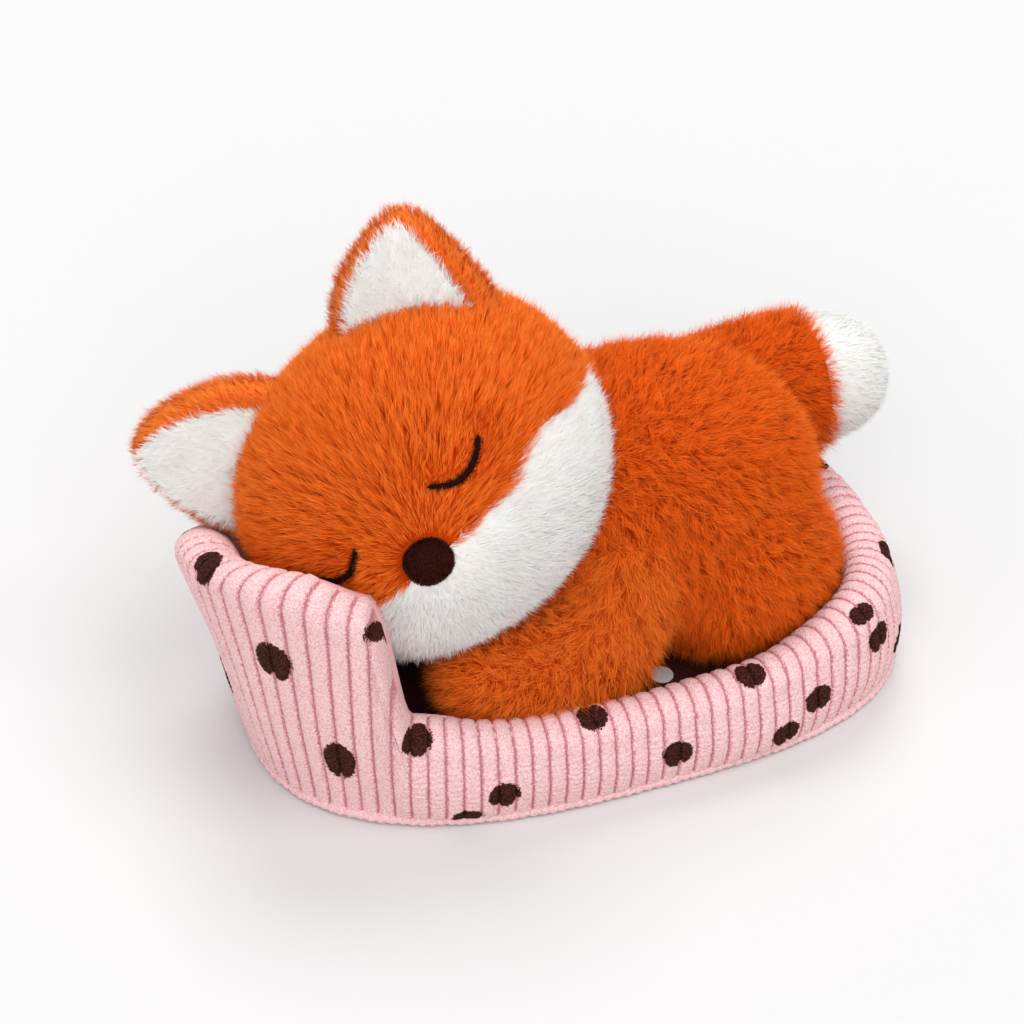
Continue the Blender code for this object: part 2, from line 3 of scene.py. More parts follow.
import bmesh
import bpy
import numpy as np
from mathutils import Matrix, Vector


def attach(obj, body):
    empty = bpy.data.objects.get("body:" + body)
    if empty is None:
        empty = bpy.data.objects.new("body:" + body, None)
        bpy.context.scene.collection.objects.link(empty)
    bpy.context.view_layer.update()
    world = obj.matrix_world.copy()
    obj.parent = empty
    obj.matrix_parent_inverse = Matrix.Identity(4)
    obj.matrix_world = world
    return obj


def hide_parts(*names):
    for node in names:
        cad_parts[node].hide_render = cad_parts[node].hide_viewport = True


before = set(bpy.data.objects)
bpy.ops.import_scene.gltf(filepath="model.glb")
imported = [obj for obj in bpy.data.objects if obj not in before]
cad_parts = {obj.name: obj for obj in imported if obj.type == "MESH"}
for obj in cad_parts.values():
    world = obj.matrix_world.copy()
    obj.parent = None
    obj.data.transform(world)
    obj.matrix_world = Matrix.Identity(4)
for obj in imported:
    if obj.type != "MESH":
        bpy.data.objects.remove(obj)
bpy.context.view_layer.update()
print("frame loaded:", len(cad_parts), "nodes")

mm = 0.001


# Colours and materials

def tone(hexCode):
    # sRGB hex to linear: below 0.04045 divide by 12.92, above it the 2.4 power
    parts = np.array([int(hexCode[i:i + 2], 16) for i in (1, 3, 5)]) / 255
    linear = np.where(parts <= 0.04045, parts / 12.92, ((parts + 0.055) / 1.055) ** 2.4)
    return (*map(float, linear), 1.0)


def feed(tree, node, inputs):
    # each input is set from a number, a colour or another node's output
    for key, value in inputs.items():
        if isinstance(value, bpy.types.NodeSocket):
            tree.links.new(value, node.inputs[key])
        else:
            node.inputs[key].default_value = value


def addNode(tree, kind, inputs, **settings):
    # one node with its settings and its inputs
    node = tree.nodes.new(kind)
    for key, value in settings.items():
        setattr(node, key, value)
    feed(tree, node, inputs)
    return node


def newMaterial(name):
    # a material with its node tree and its shader
    material = bpy.data.materials.new(name)
    material.use_nodes = True
    return material, material.node_tree, material.node_tree.nodes["Principled BSDF"]


def mixColour(tree, share, low, high, blend="MIX"):
    # low where share is 0, high where it is 1; each is a hex code or another node's colour
    low, high = (tone(value) if isinstance(value, str) else value for value in (low, high))
    inputs = {0: share, 6: low, 7: high}
    return addNode(tree, "ShaderNodeMix", inputs, data_type="RGBA", blend_type=blend).outputs[2]


def calc(tree, operation, first, second=0.0, third=0.0):
    # one step of arithmetic
    return addNode(tree, "ShaderNodeMath", {0: first, 1: second, 2: third}, operation=operation).outputs[0]


def shifted(tree, value, reach, base):
    # base plus reach times what value has over a half
    return calc(tree, "MULTIPLY_ADD", calc(tree, "SUBTRACT", value, 0.5), reach, base)


def halfEach(tree, one, other):
    # the mean of two values
    return calc(tree, "MULTIPLY_ADD", one, 0.5, calc(tree, "MULTIPLY", other, 0.5))


def rangeOf(tree, value, span):
    # carries the span to 0..1 with eased ends
    inputs = {"Value": value, "From Min": span[0], "From Max": span[1]}
    return addNode(tree, "ShaderNodeMapRange", inputs, interpolation_type="SMOOTHSTEP").outputs["Result"]


def noiseOf(tree, coords, size, detail=2.0, rough=0.5):
    # noise whose grains are about size metres across
    inputs = {"Vector": coords, "Scale": 1 / size, "Detail": detail, "Roughness": rough}
    return addNode(tree, "ShaderNodeTexNoise", inputs).outputs["Fac"]


def bumpOf(tree, height, depth, strength=0.8):
    # the normal of a relief whose heights 0..1 are depth metres apart
    inputs = {"Height": height, "Distance": depth, "Strength": strength}
    return addNode(tree, "ShaderNodeBump", inputs).outputs["Normal"]


def objectCoords(tree):
    # metres in the shared frame
    return addNode(tree, "ShaderNodeTexCoord", {}).outputs["Object"]


def partsOf(tree, vector):
    # X, Y and Z of a vector, or of the UV map that is named
    if isinstance(vector, str):
        vector = addNode(tree, "ShaderNodeUVMap", {}, uv_map=vector).outputs["UV"]
    return addNode(tree, "ShaderNodeSeparateXYZ", {"Vector": vector}).outputs


# Long plush: acrylic pile on a knitted back. The eye sees dark roots, lit tips and soft clumps; each strand's
# colour is painted darker and deeper towards the root, as painted shade deep in the pile, and paler at the
# tip, as painted light.
plush = {
    "orange": {"root": "#B43600", "middle": "#E85604", "tip": "#FF9038", "spread": 0.40},
    "ear": {"root": "#DE4E0A", "middle": "#F2600F", "tip": "#FF8A36", "spread": 0.2},
    "white": {"root": "#FBF7F3", "middle": "#FFFDFA", "tip": "#FFFFFD", "spread": 0.05},
    "brown": {"root": "#1D0803", "middle": "#38130B", "tip": "#4C2016", "spread": 0.3},
    "toMiddle": (0.0, 0.45), "toTip": (0.4, 1.0),  # where along the strand each colour passes to the next
    "patchSize": 7 * mm, "patchDepth": 0.08,
    "redPower": 0.6, "bluePower": 1.4,  # the darker a strand, the deeper its hue
    "sheenRough": 0.5, "shine": 0.08,
}


def makePlush(name, shades, rough=0.75, sheen=0.5):
    # colour by the place along the strand, with painted shade at the root and painted light at the tip, times
    # a brightness of the strand's grade and slow patches
    material, tree, shader = newMaterial(name)
    strand = partsOf(tree, "strand")
    low = mixColour(tree, rangeOf(tree, strand["Y"], plush["toMiddle"]), shades["root"], shades["middle"])
    colour = mixColour(tree, rangeOf(tree, strand["Y"], plush["toTip"]), low, shades["tip"])
    patch = noiseOf(tree, objectCoords(tree), plush["patchSize"])
    spread = shades["spread"]
    bright = calc(tree, "MULTIPLY_ADD", strand["X"], spread, 1 - spread / 2)
    bright = shifted(tree, patch, 2 * plush["patchDepth"], bright)
    tint = addNode(tree, "ShaderNodeCombineColor", {
        "Red": calc(tree, "POWER", bright, plush["redPower"]), "Green": bright,
        "Blue": calc(tree, "POWER", bright, plush["bluePower"])}).outputs[0]
    feed(tree, shader, {
        "Base Color": mixColour(tree, 1.0, colour, tint, "MULTIPLY"), "Roughness": rough,
        "Sheen Weight": sheen, "Sheen Roughness": plush["sheenRough"], "Sheen Tint": tone(shades["tip"]),
        "Specular IOR Level": plush["shine"]})
    return material


# Wide-wale corduroy: rounded ribs of short cotton tufts, a soft groove between them that is painted darker as
# painted shade, dots printed in flock
corduroy = {
    "rib": "#E6AEB1", "ribLight": "#F4D1D2", "ribSpan": (0.34, 0.62),
    # groove: the pink painted in the grooves, darker as painted shade
    "groove": "#C87B83", "grooveSpan": (0.34, 0.50), "grooveBend": 0.14,
    "tuft": 0.62 * mm, "patch": 2.2 * 0.62 * mm, "speckle": 0.3 * mm, "bump": 0.34 * mm,
    "dot": "#33140F", "dotLight": "#54302A", "dotSpan": (0.42, 0.7), "dotGrooveShade": "#1E0A07",
    "dotRadius": 4.6, "dotEdge": 0.15, "ragged": (0.9, 1.0, 0.7),  # millimetres, as the attribute is
    "rough": 0.9, "sheen": 0.15, "sheenRough": 0.45, "sheenTint": "#FFE3E3", "shine": 0.08,
}


def makeCorduroy():
    # ribs by the fraction of the cloth's rib count, dots where the dotReach attribute is under their radius
    material, tree, shader = newMaterial("cottonCorduroy")
    coords = objectCoords(tree)
    tuft = addNode(tree, "ShaderNodeTexVoronoi", {"Vector": coords, "Scale": 1 / corduroy["tuft"]})
    tuft = tuft.outputs["Distance"]
    broad = noiseOf(tree, coords, corduroy["patch"])
    fine = noiseOf(tree, coords, corduroy["speckle"], 2.0, 0.6)
    part = calc(tree, "FRACT", shifted(tree, broad, corduroy["grooveBend"], partsOf(tree, "cloth")["X"]))
    near = calc(tree, "ABSOLUTE", calc(tree, "SUBTRACT", part, 0.5))  # 0.5 in the groove
    groove = rangeOf(tree, shifted(tree, tuft, corduroy["grooveBend"], near), corduroy["grooveSpan"])
    loops = halfEach(tree, fine, calc(tree, "SUBTRACT", 1.0, tuft))
    light = mixColour(tree, rangeOf(tree, loops, corduroy["ribSpan"]), corduroy["rib"], corduroy["ribLight"])
    # the grooves are painted a darker pink: painted shade in the recess between the ribs
    pink = mixColour(tree, groove, light, corduroy["groove"])
    byTuft, byPatch, byGroove = corduroy["ragged"]
    reach = addNode(tree, "ShaderNodeAttribute", {}, attribute_name="dotReach").outputs["Fac"]
    reach = shifted(tree, broad, byPatch, shifted(tree, tuft, byTuft, reach))
    reach = calc(tree, "MULTIPLY_ADD", groove, byGroove, reach)
    radius, edge = corduroy["dotRadius"], corduroy["dotEdge"]
    mask = rangeOf(tree, reach, (radius + edge, radius - edge))
    flock = mixColour(tree, rangeOf(tree, loops, corduroy["dotSpan"]), corduroy["dot"], corduroy["dotLight"])
    # in the grooves a dot is painted darker still: painted shade
    flock = mixColour(tree, calc(tree, "MULTIPLY", groove, 0.8), flock, corduroy["dotGrooveShade"])
    feed(tree, shader, {
        "Base Color": mixColour(tree, mask, pink, flock), "Roughness": corduroy["rough"],
        "Normal": bumpOf(tree, loops, corduroy["bump"], 1.0),
        "Sheen Weight": calc(tree, "MULTIPLY", calc(tree, "SUBTRACT", 1.0, mask), corduroy["sheen"]),
        "Sheen Roughness": corduroy["sheenRough"], "Sheen Tint": tone(corduroy["sheenTint"]),
        "Specular IOR Level": corduroy["shine"]})
    return material


smoothCloth = {"span": (0.35, 0.65), "broad": 22, "threadBend": 1.5, "shine": 0.2}


def makeCloth(name, dark, light, grain, depth, rough=0.8, sheen=0.3, weave=None):
    # short smooth cloth: two close shades in fine noise, a fine bump, and threads across it if it is woven
    material, tree, shader = newMaterial(name)
    coords = objectCoords(tree)
    fine = noiseOf(tree, coords, grain, 3.0, 0.6)
    share = halfEach(tree, noiseOf(tree, coords, grain * smoothCloth["broad"]), fine)
    height = fine
    if weave:
        bend = smoothCloth["threadBend"]
        inputs = {"Vector": coords, "Scale": 1 / (2 * math.pi * weave), "Distortion": bend}
        wave = addNode(tree, "ShaderNodeTexWave", inputs, bands_direction="DIAGONAL").outputs["Fac"]
        height = calc(tree, "ADD", fine, wave)
    feed(tree, shader, {
        "Base Color": mixColour(tree, rangeOf(tree, share, smoothCloth["span"]), dark, light),
        "Normal": bumpOf(tree, height, depth), "Roughness": rough, "Sheen Weight": sheen,
        "Specular IOR Level": smoothCloth["shine"]})
    return material


# Short plush painted dark brown, as painted shade for the bed's floor, which lies deep in the shade of the
# walls and the fox, with a sparse print of round white spots, one every pitch both ways
spotted = {
    "dark": "#35100B", "light": "#5A241B", "span": (0.35, 0.7), "grain": 0.5 * mm, "bump": 0.25 * mm,
    "spot": "#FAFBFA", "at": {"X": 19.3 * mm, "Y": -26.4 * mm}, "radius": 3.3 * mm, "edge": 0.15 * mm,
    "pitch": 70 * mm, "rough": 0.8, "sheen": 0.1, "shine": 0.2,
}


def makeSpotted():
    # a spot where the distance to the nearest crossing of the print's lines is under the radius
    material, tree, shader = newMaterial("shadeDarkFloorPlush")
    coords = objectCoords(tree)
    fine = noiseOf(tree, coords, spotted["grain"], 3.0, 0.6)
    brown = mixColour(tree, rangeOf(tree, fine, spotted["span"]), spotted["dark"], spotted["light"])
    place = partsOf(tree, coords)
    squares = []
    for axis, start in spotted["at"].items():
        steps = calc(tree, "DIVIDE", calc(tree, "SUBTRACT", place[axis], start), spotted["pitch"])
        off = calc(tree, "SUBTRACT", steps, calc(tree, "ROUND", steps))
        squares.append(calc(tree, "POWER", calc(tree, "MULTIPLY", off, spotted["pitch"]), 2.0))
    far = calc(tree, "SQRT", calc(tree, "ADD", *squares))
    mask = rangeOf(tree, far, (spotted["radius"] + spotted["edge"], spotted["radius"] - spotted["edge"]))
    feed(tree, shader, {
        "Base Color": mixColour(tree, mask, brown, spotted["spot"]), "Roughness": spotted["rough"],
        "Normal": bumpOf(tree, fine, spotted["bump"]), "Sheen Weight": spotted["sheen"],
        "Specular IOR Level": spotted["shine"]})
    return material


# Rayon embroidery thread: satin stitches laid across the line, each about 0.45 mm, that catch little light
satin = {"dark": "#120604", "light": "#341710", "span": (0.2, 0.9), "slant": 0.8, "bump": 0.3 * mm,
         "rough": 0.8, "shine": 0.05}


def makeThread():
    # up and down over each stitch, which is counted along the line and slants over the band
    material, tree, shader = newMaterial("rayonThread")
    stitch = partsOf(tree, "stitch")
    along = calc(tree, "MULTIPLY_ADD", stitch["Y"], satin["slant"], stitch["X"])
    wave = calc(tree, "PINGPONG", along, 0.5)
    share = calc(tree, "MULTIPLY_ADD", noiseOf(tree, objectCoords(tree), 0.3 * mm), 0.5, wave)
    feed(tree, shader, {
        "Base Color": mixColour(tree, rangeOf(tree, share, satin["span"]), satin["dark"], satin["light"]),
        "Normal": bumpOf(tree, wave, satin["bump"]), "Roughness": satin["rough"],
        "Specular IOR Level": satin["shine"]})
    return material


orangeFur = makePlush("orangeAcrylicPlush", plush["orange"])
whiteFur = makePlush("whiteAcrylicPlush", plush["white"], sheen=0.25)
earFur = makePlush("orangeEarPlush", plush["ear"])  # the ears' edges look paler, being thin and lit through
noseFlock = makePlush("brownNoseFlock", plush["brown"], 0.85, 0.05)
clothCorduroy = makeCorduroy()
minky = makeCloth("pinkMinky", "#E59A9D", "#F3B4B6", 0.5 * mm, 0.08 * mm, 0.7, 0.45)
baseCloth = makeCloth("pinkBaseCloth", "#D9989C", "#EDB4B6", 0.8 * mm, 0.2 * mm, weave=0.5 * mm)
cushionShadePlush = makeSpotted()
foam = makeCloth("polyurethaneFoam", "#D8CFB4", "#EFE8D2", 1.2 * mm, 0.5 * mm, 0.9, 0.0)
fibre = makeCloth("polyesterFibre", "#DAD9D4", "#F4F3EF", 1.5 * mm, 0.6 * mm, 0.9, 0.2)
thread = makeThread()
print("materials made")


# Arrays and meshes

def unit(vectors):
    # each vector over its length
    return vectors / (np.linalg.norm(vectors, axis=-1, keepdims=True) + 1e-12)


def dot(one, other):
    # sum of the products of the parts
    return (one * other).sum(axis=-1, keepdims=True)


def eased(value, span):
    # 0 before the span, 1 after it, smooth between
    share = np.clip((value - span[0]) / (span[1] - span[0]), 0, 1)
    return share * share * (3 - 2 * share)


def nearestOn(line, points):
    # which point of the line is nearest to each point
    return ((points[:, None] - line[None]) ** 2).sum(axis=-1).argmin(axis=1)


def addObject(name, data):
    # an object for a mesh, a lamp or a camera
    thing = bpy.data.objects.new(name, data)
    bpy.context.scene.collection.objects.link(thing)
    return thing


def toMesh(name, points, faces, material, body, maps=None, fields=None):
    # one piece from whole arrays: points n x 3, faces m x 3 or m x 4; maps and fields are given per point
    mesh = bpy.data.meshes.new(name)
    count, sides = faces.shape
    mesh.vertices.add(len(points))
    mesh.vertices.foreach_set("co", np.asarray(points, np.float32).ravel())
    mesh.loops.add(count * sides)
    mesh.loops.foreach_set("vertex_index", np.asarray(faces, np.int32).ravel())
    mesh.polygons.add(count)
    mesh.polygons.foreach_set("loop_start", np.arange(0, count * sides, sides, dtype=np.int32))
    mesh.polygons.foreach_set("use_smooth", np.ones(count, bool))
    for key, values in (maps or {}).items():
        layer = mesh.uv_layers.new(name=key)
        layer.uv.foreach_set("vector", np.asarray(values, np.float32)[faces.ravel()].ravel())
    for key, values in (fields or {}).items():
        mesh.attributes.new(key, "FLOAT", "POINT").data.foreach_set("value", np.asarray(values, np.float32))
    mesh.update()
    mesh.validate()
    mesh.materials.append(material)
    piece = addObject(name, mesh)
    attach(piece, body)
    return piece


def closedPiece(name, points, faces, material, body, nodes, maps=None, fields=None):
    # a closed mesh in place of some solids: merges the points drawn together at its poles and turns all faces
    # outwards
    piece = toMesh(name, points, faces, material, body, maps, fields)
    work = bmesh.new()
    work.from_mesh(piece.data)
    bmesh.ops.remove_doubles(work, verts=work.verts, dist=1e-7)
    bmesh.ops.recalc_face_normals(work, faces=work.faces)
    work.to_mesh(piece.data)
    work.free()
    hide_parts(*nodes)


def gridFaces(rows, columns, closedRows=False):
    # quads of a grid whose columns close; its rows close too if asked
    i = np.arange(rows if closedRows else rows - 1)[:, None]
    j = np.arange(columns)[None, :]
    a, b = (i + 1) % rows, (j + 1) % columns
    corners = (i * columns + j, i * columns + b, a * columns + b, a * columns + j)
    return np.stack(corners, axis=-1).reshape(-1, 4)


def ballGrid(rings, columns):
    # unit directions: rings from just above the lower pole to just under the upper one
    tilt = math.pi * (np.arange(rings) + 0.5) / rings - math.pi / 2
    turn = 2 * math.pi * np.arange(columns) / columns
    flat = np.cos(tilt)[:, None]
    return np.stack([flat * np.cos(turn), flat * np.sin(turn), np.sin(tilt)[:, None] + 0 * turn], axis=-1)


def capped(grid):
    # closes a grid of rings at both ends, each with its end ring drawn to the ring's middle
    first, last = (np.repeat(ring.mean(axis=1, keepdims=True), grid.shape[1], axis=1)
                   for ring in (grid[:1], grid[-1:]))
    return np.concatenate([first, grid, last])


# The fox's forms, as in the solids: balls of three radii, squarer than an ellipsoid as power passes 2

torso = {"centre": (23.5, 4, 54.5), "radii": (48.5, 37, 41), "power": 2.15}
head = {
    "centre": (-40.5, 4, 80), "radii": (51, 43, 44.5), "power": 2.2,
    "turn": -23.7, "nod": -16.9, "roll": -44.2,
    "muzzleHeight": 5, "muzzleWidth": 24, "muzzleDip": 12,
}
haunchLeft = {"centre": (45, -12.5, 40.5), "radii": (29, 24, 27.5), "power": 2.1}
haunchRight = {"centre": (43, 17.5, 38), "radii": (26, 18, 25), "power": 2.1}
clear = {"touch": 0.3 * mm, "limb": 2.0 * mm}


def turned(axis, degrees):
    # rotation matrix about X, Y or Z
    c, s = math.cos(math.radians(degrees)), math.sin(math.radians(degrees))
    rows = {"X": [[1, 0, 0], [0, c, -s], [0, s, c]], "Y": [[c, 0, s], [0, 1, 0], [-s, 0, c]],
            "Z": [[c, -s, 0], [s, c, 0], [0, 0, 1]]}
    return np.array(rows[axis])


headFrame = turned("Z", head["turn"]) @ turned("X", head["nod"]) @ turned("Y", head["roll"])
headCentre, torsoCentre = np.array(head["centre"]) * mm, np.array(torso["centre"]) * mm


def ballReach(way, radii, power, grow=0.0):
    # length of each direction to the ball's skin: the power mean of its parts over the radii
    sized = np.abs(way / (np.array(radii) * mm + grow)) ** power
    return sized.sum(axis=-1) ** (-1 / power)


def headReach(way, grow=0.0):
    # the head's ball plus a bell-shaped muzzle around the point it faces
    dip = math.radians(head["muzzleDip"])
    ahead = np.array([0, -math.cos(dip), -math.sin(dip)])
    off = np.degrees(np.arccos(np.clip(way @ ahead, -1, 1))) / head["muzzleWidth"]
    return ballReach(way, head["radii"], head["power"], grow) + head["muzzleHeight"] * mm * np.exp(-off ** 2)


def depthIn(form, points, grow=0.0):
    # below 1 inside a form that is grown by some metres
    away = points - np.array(form["centre"]) * mm
    if form is head:
        away = away @ headFrame
    far = np.linalg.norm(away, axis=-1) + 1e-12
    way = away / far[..., None]
    reach = headReach(way, grow) if form is head else ballReach(way, form["radii"], form["power"], grow)
    return far / reach


def isClear(points, blockers):
    # outside every blocking form, each grown by its own gap
    return ~np.any([depthIn(form, points, grow) < 1 for form, grow in blockers], axis=0)


def freeMiddle(grid, blockers):
    # the middle of each ring's points outside the blockers, weighted by their spacing
    gap = np.linalg.norm(np.roll(grid, -1, axis=1) - grid, axis=-1)
    weight = (isClear(grid, blockers) * gap)[..., None] + 1e-12
    middle = (grid * weight).sum(axis=1, keepdims=True) / weight.sum(axis=1, keepdims=True)
    return np.broadcast_to(middle, grid.shape)


def pulledIn(inner, outer, blockers, steps=60, halvings=7):
    # draws each outer point towards its inner one until it is outside every blocker, and says which were free
    inner = np.broadcast_to(inner, outer.shape)
    share = np.linspace(0, 1, steps)
    line = inner[..., None, :] + (outer - inner)[..., None, :] * share[:, None]
    inside = ~isClear(line, blockers)
    hit = inside.any(axis=-1)
    first = np.where(hit, inside.argmax(axis=-1), steps)
    low = np.clip(first - 1, 0, steps - 1) / (steps - 1)
    high = np.clip(first, 0, steps - 1) / (steps - 1)
    for _ in range(halvings):
        middle = (low + high) / 2
        bad = ~isClear(inner + (outer - inner) * middle[..., None], blockers)
        high = np.where(bad, middle, high)
        low = np.where(bad, low, middle)
    final = np.where(hit, low, 1.0)
    return inner + (outer - inner) * final[..., None], ~hit


def skinFrom(name, grid, free, middle, material, body, slot, nodes, depth=0.15):
    # a stuffed piece: a grid of rings closed at both ends, coloured as the pile is at a depth of the strand,
    # which carries the pile's painted shade onto the skin;
    # middle gives for each point one that lies under it, inside the piece
    closed = capped(grid)
    points = closed.reshape(-1, 3)
    strand = np.tile([0.5, depth], (len(points), 1))
    closedPiece(name, points, gridFaces(*closed.shape[:2]), material, body, nodes,
                {"strand": strand})
    free = np.broadcast_to(free, grid.shape[:2])
    free = np.concatenate([free[:1], free, free[-1:]])
    return {"grid": closed, "free": free, "middle": middle, "body": body, "slot": slot}


# Pile: lengths and widths in millimetres, density in strands per square millimetre, angles in degrees

basePile = {"width": 0.15, "shades": (0.0, 1.0), "strayLength": 1.1, "soft": 0.75}
strands = {
    "lengths": (0.72, 0.4, 0.3),  # the shortest share, and what the strand and its clump add to it
    "widths": (0.7, 0.6), "kneeWidth": 0.8, "roll": 0.6,
    "leanSpread": (0.12, 0.2), "strayLean": (0.4, 0.6), "strayPull": 0.1, "kneePull": 0.3,
    "borderWaves": 900, "borderBend": 0.45, "perPiece": 60000, "quickShare": 0.25,
    "faces": ((0, 1, 2), (0, 2, 3), (3, 2, 4)), "climb": (0.0, 0.0, 0.55, 0.55, 1.0),
    "cell": ((0.1, 0.08), (0.9, 0.08), (0.86, 0.5), (0.14, 0.5), (0.5, 0.94)),
}


def cellMap(count):
    # a bake map in which each strand has its own cell: across at the foot, one point at the tip
    side = math.ceil(math.sqrt(count))
    index = np.arange(count)
    corner = np.stack([index % side, index // side], axis=-1) / side
    return (corner[:, None, :] + (np.array(strands["cell"]) / side)[None]).reshape(-1, 2)


def rootsOn(skin, density, rng):
    # places spread evenly over the area of a skin's free faces, and the skin's normal at each
    grid = skin["grid"]
    faces, flat = gridFaces(*grid.shape[:2]), grid.reshape(-1, 3)
    faces = faces[skin["free"].reshape(-1)[faces].all(axis=1)]
    corners = flat[faces]
    cross = np.cross(corners[:, 2] - corners[:, 0], corners[:, 3] - corners[:, 1])
    area = np.linalg.norm(cross, axis=1) / 2
    around = np.roll(grid, -1, axis=1) - np.roll(grid, 1, axis=1)
    normals = np.cross(around, np.gradient(grid, axis=0)).reshape(-1, 3)
    normals = unit(normals * np.sign(dot(normals, flat - skin["middle"](flat)) + 1e-30))
    count = int(area.sum() / mm ** 2 * density)
    total = np.cumsum(area)
    pick = np.searchsorted(total, (np.arange(count) + rng.random(count)) / count * total[-1])
    pick = np.minimum(pick, len(faces) - 1)
    u, v = rng.random((2, count, 1))
    weight = np.stack([(1 - u) * (1 - v), u * (1 - v), u * v, (1 - u) * v], axis=1)
    return (corners[pick] * weight).sum(axis=1), unit((normals[faces[pick]] * weight).sum(axis=1))


def clumpsOf(root, size, rng):
    # the cells of a lattice bent by sines, so that their borders wind: each root's clump, and their number
    waves = rng.normal(0, strands["borderWaves"], (3, 3))
    bends = np.stack([np.sin(root @ way + 1.7 * k) for k, way in enumerate(waves)], axis=1)
    cells = np.floor(root / size + strands["borderBend"] * bends + rng.random(3)).astype(np.int64)
    _, clump = np.unique(cells @ np.array([1, 4096, 4096 ** 2]), return_inverse=True)
    return clump, clump.max() + 1


def growPile(name, skin, style, flow, material, rule=None):
    # strands on the free faces of a skin: each is a ribbon from root over a knee to a tip, that leans away
    # from the normal towards the flow by the style's two angles, and is drawn to its clump's tip
    rng = np.random.default_rng(style["seed"])
    root, normal = rootsOn(skin, style["density"] * (1), rng)
    scale = np.ones(len(root))
    if rule:
        keep, scale = rule(root, rng)
        root, normal, scale = root[keep], normal[keep], scale[keep]
    count = len(root)
    run = flow(root)
    run = unit(run - normal * dot(run, normal))
    clump, clumps = clumpsOf(root, style["clump"] * mm, rng)
    wander = math.radians(style["wander"])
    angle = (rng.normal(0, wander, clumps)[clump] + rng.normal(0, wander * 0.5, count))[:, None]
    run = run * np.cos(angle) + np.cross(normal, run) * np.sin(angle)
    grade = rng.random(clumps)[clump]
    shortest, byStrand, byClump = strands["lengths"]
    length = shortest + byStrand * rng.random(count) + byClump * (grade - 0.5)
    length = style["length"] * mm * length * scale
    # a share of the strands strays: it stands up out of the pile and is in no clump
    stray = rng.random(count) < style["stray"]
    length = np.where(stray, length * style["strayLength"], length)
    ways = []
    for lean, standing, spread in zip(style["lean"], strands["strayLean"], strands["leanSpread"]):
        lean = (math.radians(lean) * np.where(stray, standing, 1.0) + rng.normal(0, spread, count))[:, None]
        ways.append(normal * np.cos(lean) + run * np.sin(lean))
    way = ways[1]
    knee = root + ways[0] * (length[:, None] / 2)
    tip = knee + way * (length[:, None] / 2)
    sums = [np.bincount(clump, weights=tip[:, k], minlength=clumps) for k in range(3)]
    heads = np.stack(sums, axis=1) / np.bincount(clump, minlength=clumps)[:, None]
    pull = style["clumpPull"] * (0.5 + rng.random(count)) * np.where(stray, strands["strayPull"], 1.0)
    gather = (heads[clump] - tip) * pull[:, None]
    tip = tip + gather
    knee = knee + gather * strands["kneePull"]
    wide = unit(np.cross(way, normal))
    roll = rng.normal(0, strands["roll"], count)[:, None]
    wide = wide * np.cos(roll) + np.cross(way, wide) * np.sin(roll)
    # the ribbon's outer side is towards the skin's normal: seen from its back a face would be lit from within
    wide *= np.sign(dot(np.cross(wide, way), normal) + 1e-30)
    least, more = strands["widths"]
    half = wide * (style["width"] * mm / 2 * (least + more * rng.random(count)))[:, None]
    beside = half * strands["kneeWidth"]
    points = np.stack([root - half, root + half, knee + beside, knee - beside, tip], axis=1)
    shade = np.clip(0.5 * grade + 0.5 * rng.random(count), 0, 1)
    # lit by a normal between the skin's, which is soft, and the ribbon's own
    lit = unit(normal * style["soft"] + np.cross(wide, way) * (1 - style["soft"]))
    low, high = style["shades"]
    climb = low + (high - low) * np.array(strands["climb"])
    parts = math.ceil(count / strands["perPiece"])
    for part in range(parts):
        chosen = slice(part, count, parts)
        some = points[chosen]
        triangles = np.arange(len(some))[:, None, None] * 5 + np.array(strands["faces"])
        strand = np.stack([np.repeat(shade[chosen], 5), np.tile(climb, len(some))], axis=1)
        label = name + ("" if parts == 1 else "_" + "abcdefgh"[part])
        piece = toMesh(label, some.reshape(-1, 3), triangles.reshape(-1, 3), material, skin["body"],
                       {"OFBake": cellMap(len(some)), "strand": strand})
        piece.data.normals_split_custom_set_from_vertices(np.repeat(lit[chosen], 5, axis=0).tolist())
    print("pile", name, count, "strands in", parts)


# Head

headStyle = dict(basePile, density=5.6, shades=(0.0, 0.92), length=7.4, lean=(45, 77), clump=1.5,
                 clumpPull=0.34, wander=12, stray=0.16, strayLength=0.9, soft=0.65, seed=11)
cheekStyle = dict(basePile, density=4.6, length=5.0, lean=(52, 80), clump=1.2,
                  clumpPull=0.06, wander=16, stray=0.2, strayLength=0.9, soft=1.0, seed=12)
headTrim = {
    "noseOval": (7.0, 20, 6.2),  # bare under the nose
    "eyeClear": 1.1, "eyeStray": 0.12, "eyeFade": 6.0, "eyeShort": 0.32,
    "muzzleAt": (0, -45, -8), "muzzleShort": (0.6, 0.55), "muzzleFade": 60,
}
facePanel = {
    "top": -8, "cheekRise": 5, "cheekPlace": 40, "back": 10, "seam": 0.8, "thickness": 0.6 * mm,
    "line": ((0, 0), (0.65, 0), (0.85, 0.75), (1.0, 1.0), (1.15, 0.4), (1.4, 0)), "sunk": 0.985,
}
eyes = {"spacing": 44, "level": 8, "width": 17.5, "sag": 4.8, "bandWidth": 1.55, "bandHeight": 0.9,
        "lift": 1.2, "stitch": 0.45, "stations": 61, "columns": 20,
        "endPower": 10, "ripple": 0.05, "rippleStep": 2.1, "bow": 1.15}  # the arc is longer than it is wide
nose = {"radii": (6.6, 4.7, 6.0), "power": 2.15, "dip": 6.7, "sink": 0.5, "flow": (0.2, -0.3, -1.0)}


def inHead(points):
    # world points in the head's own frame, face to -Y
    return (points - headCentre) @ headFrame


def outOfHead(points):
    # the way back to the world
    return headCentre + points @ headFrame.T


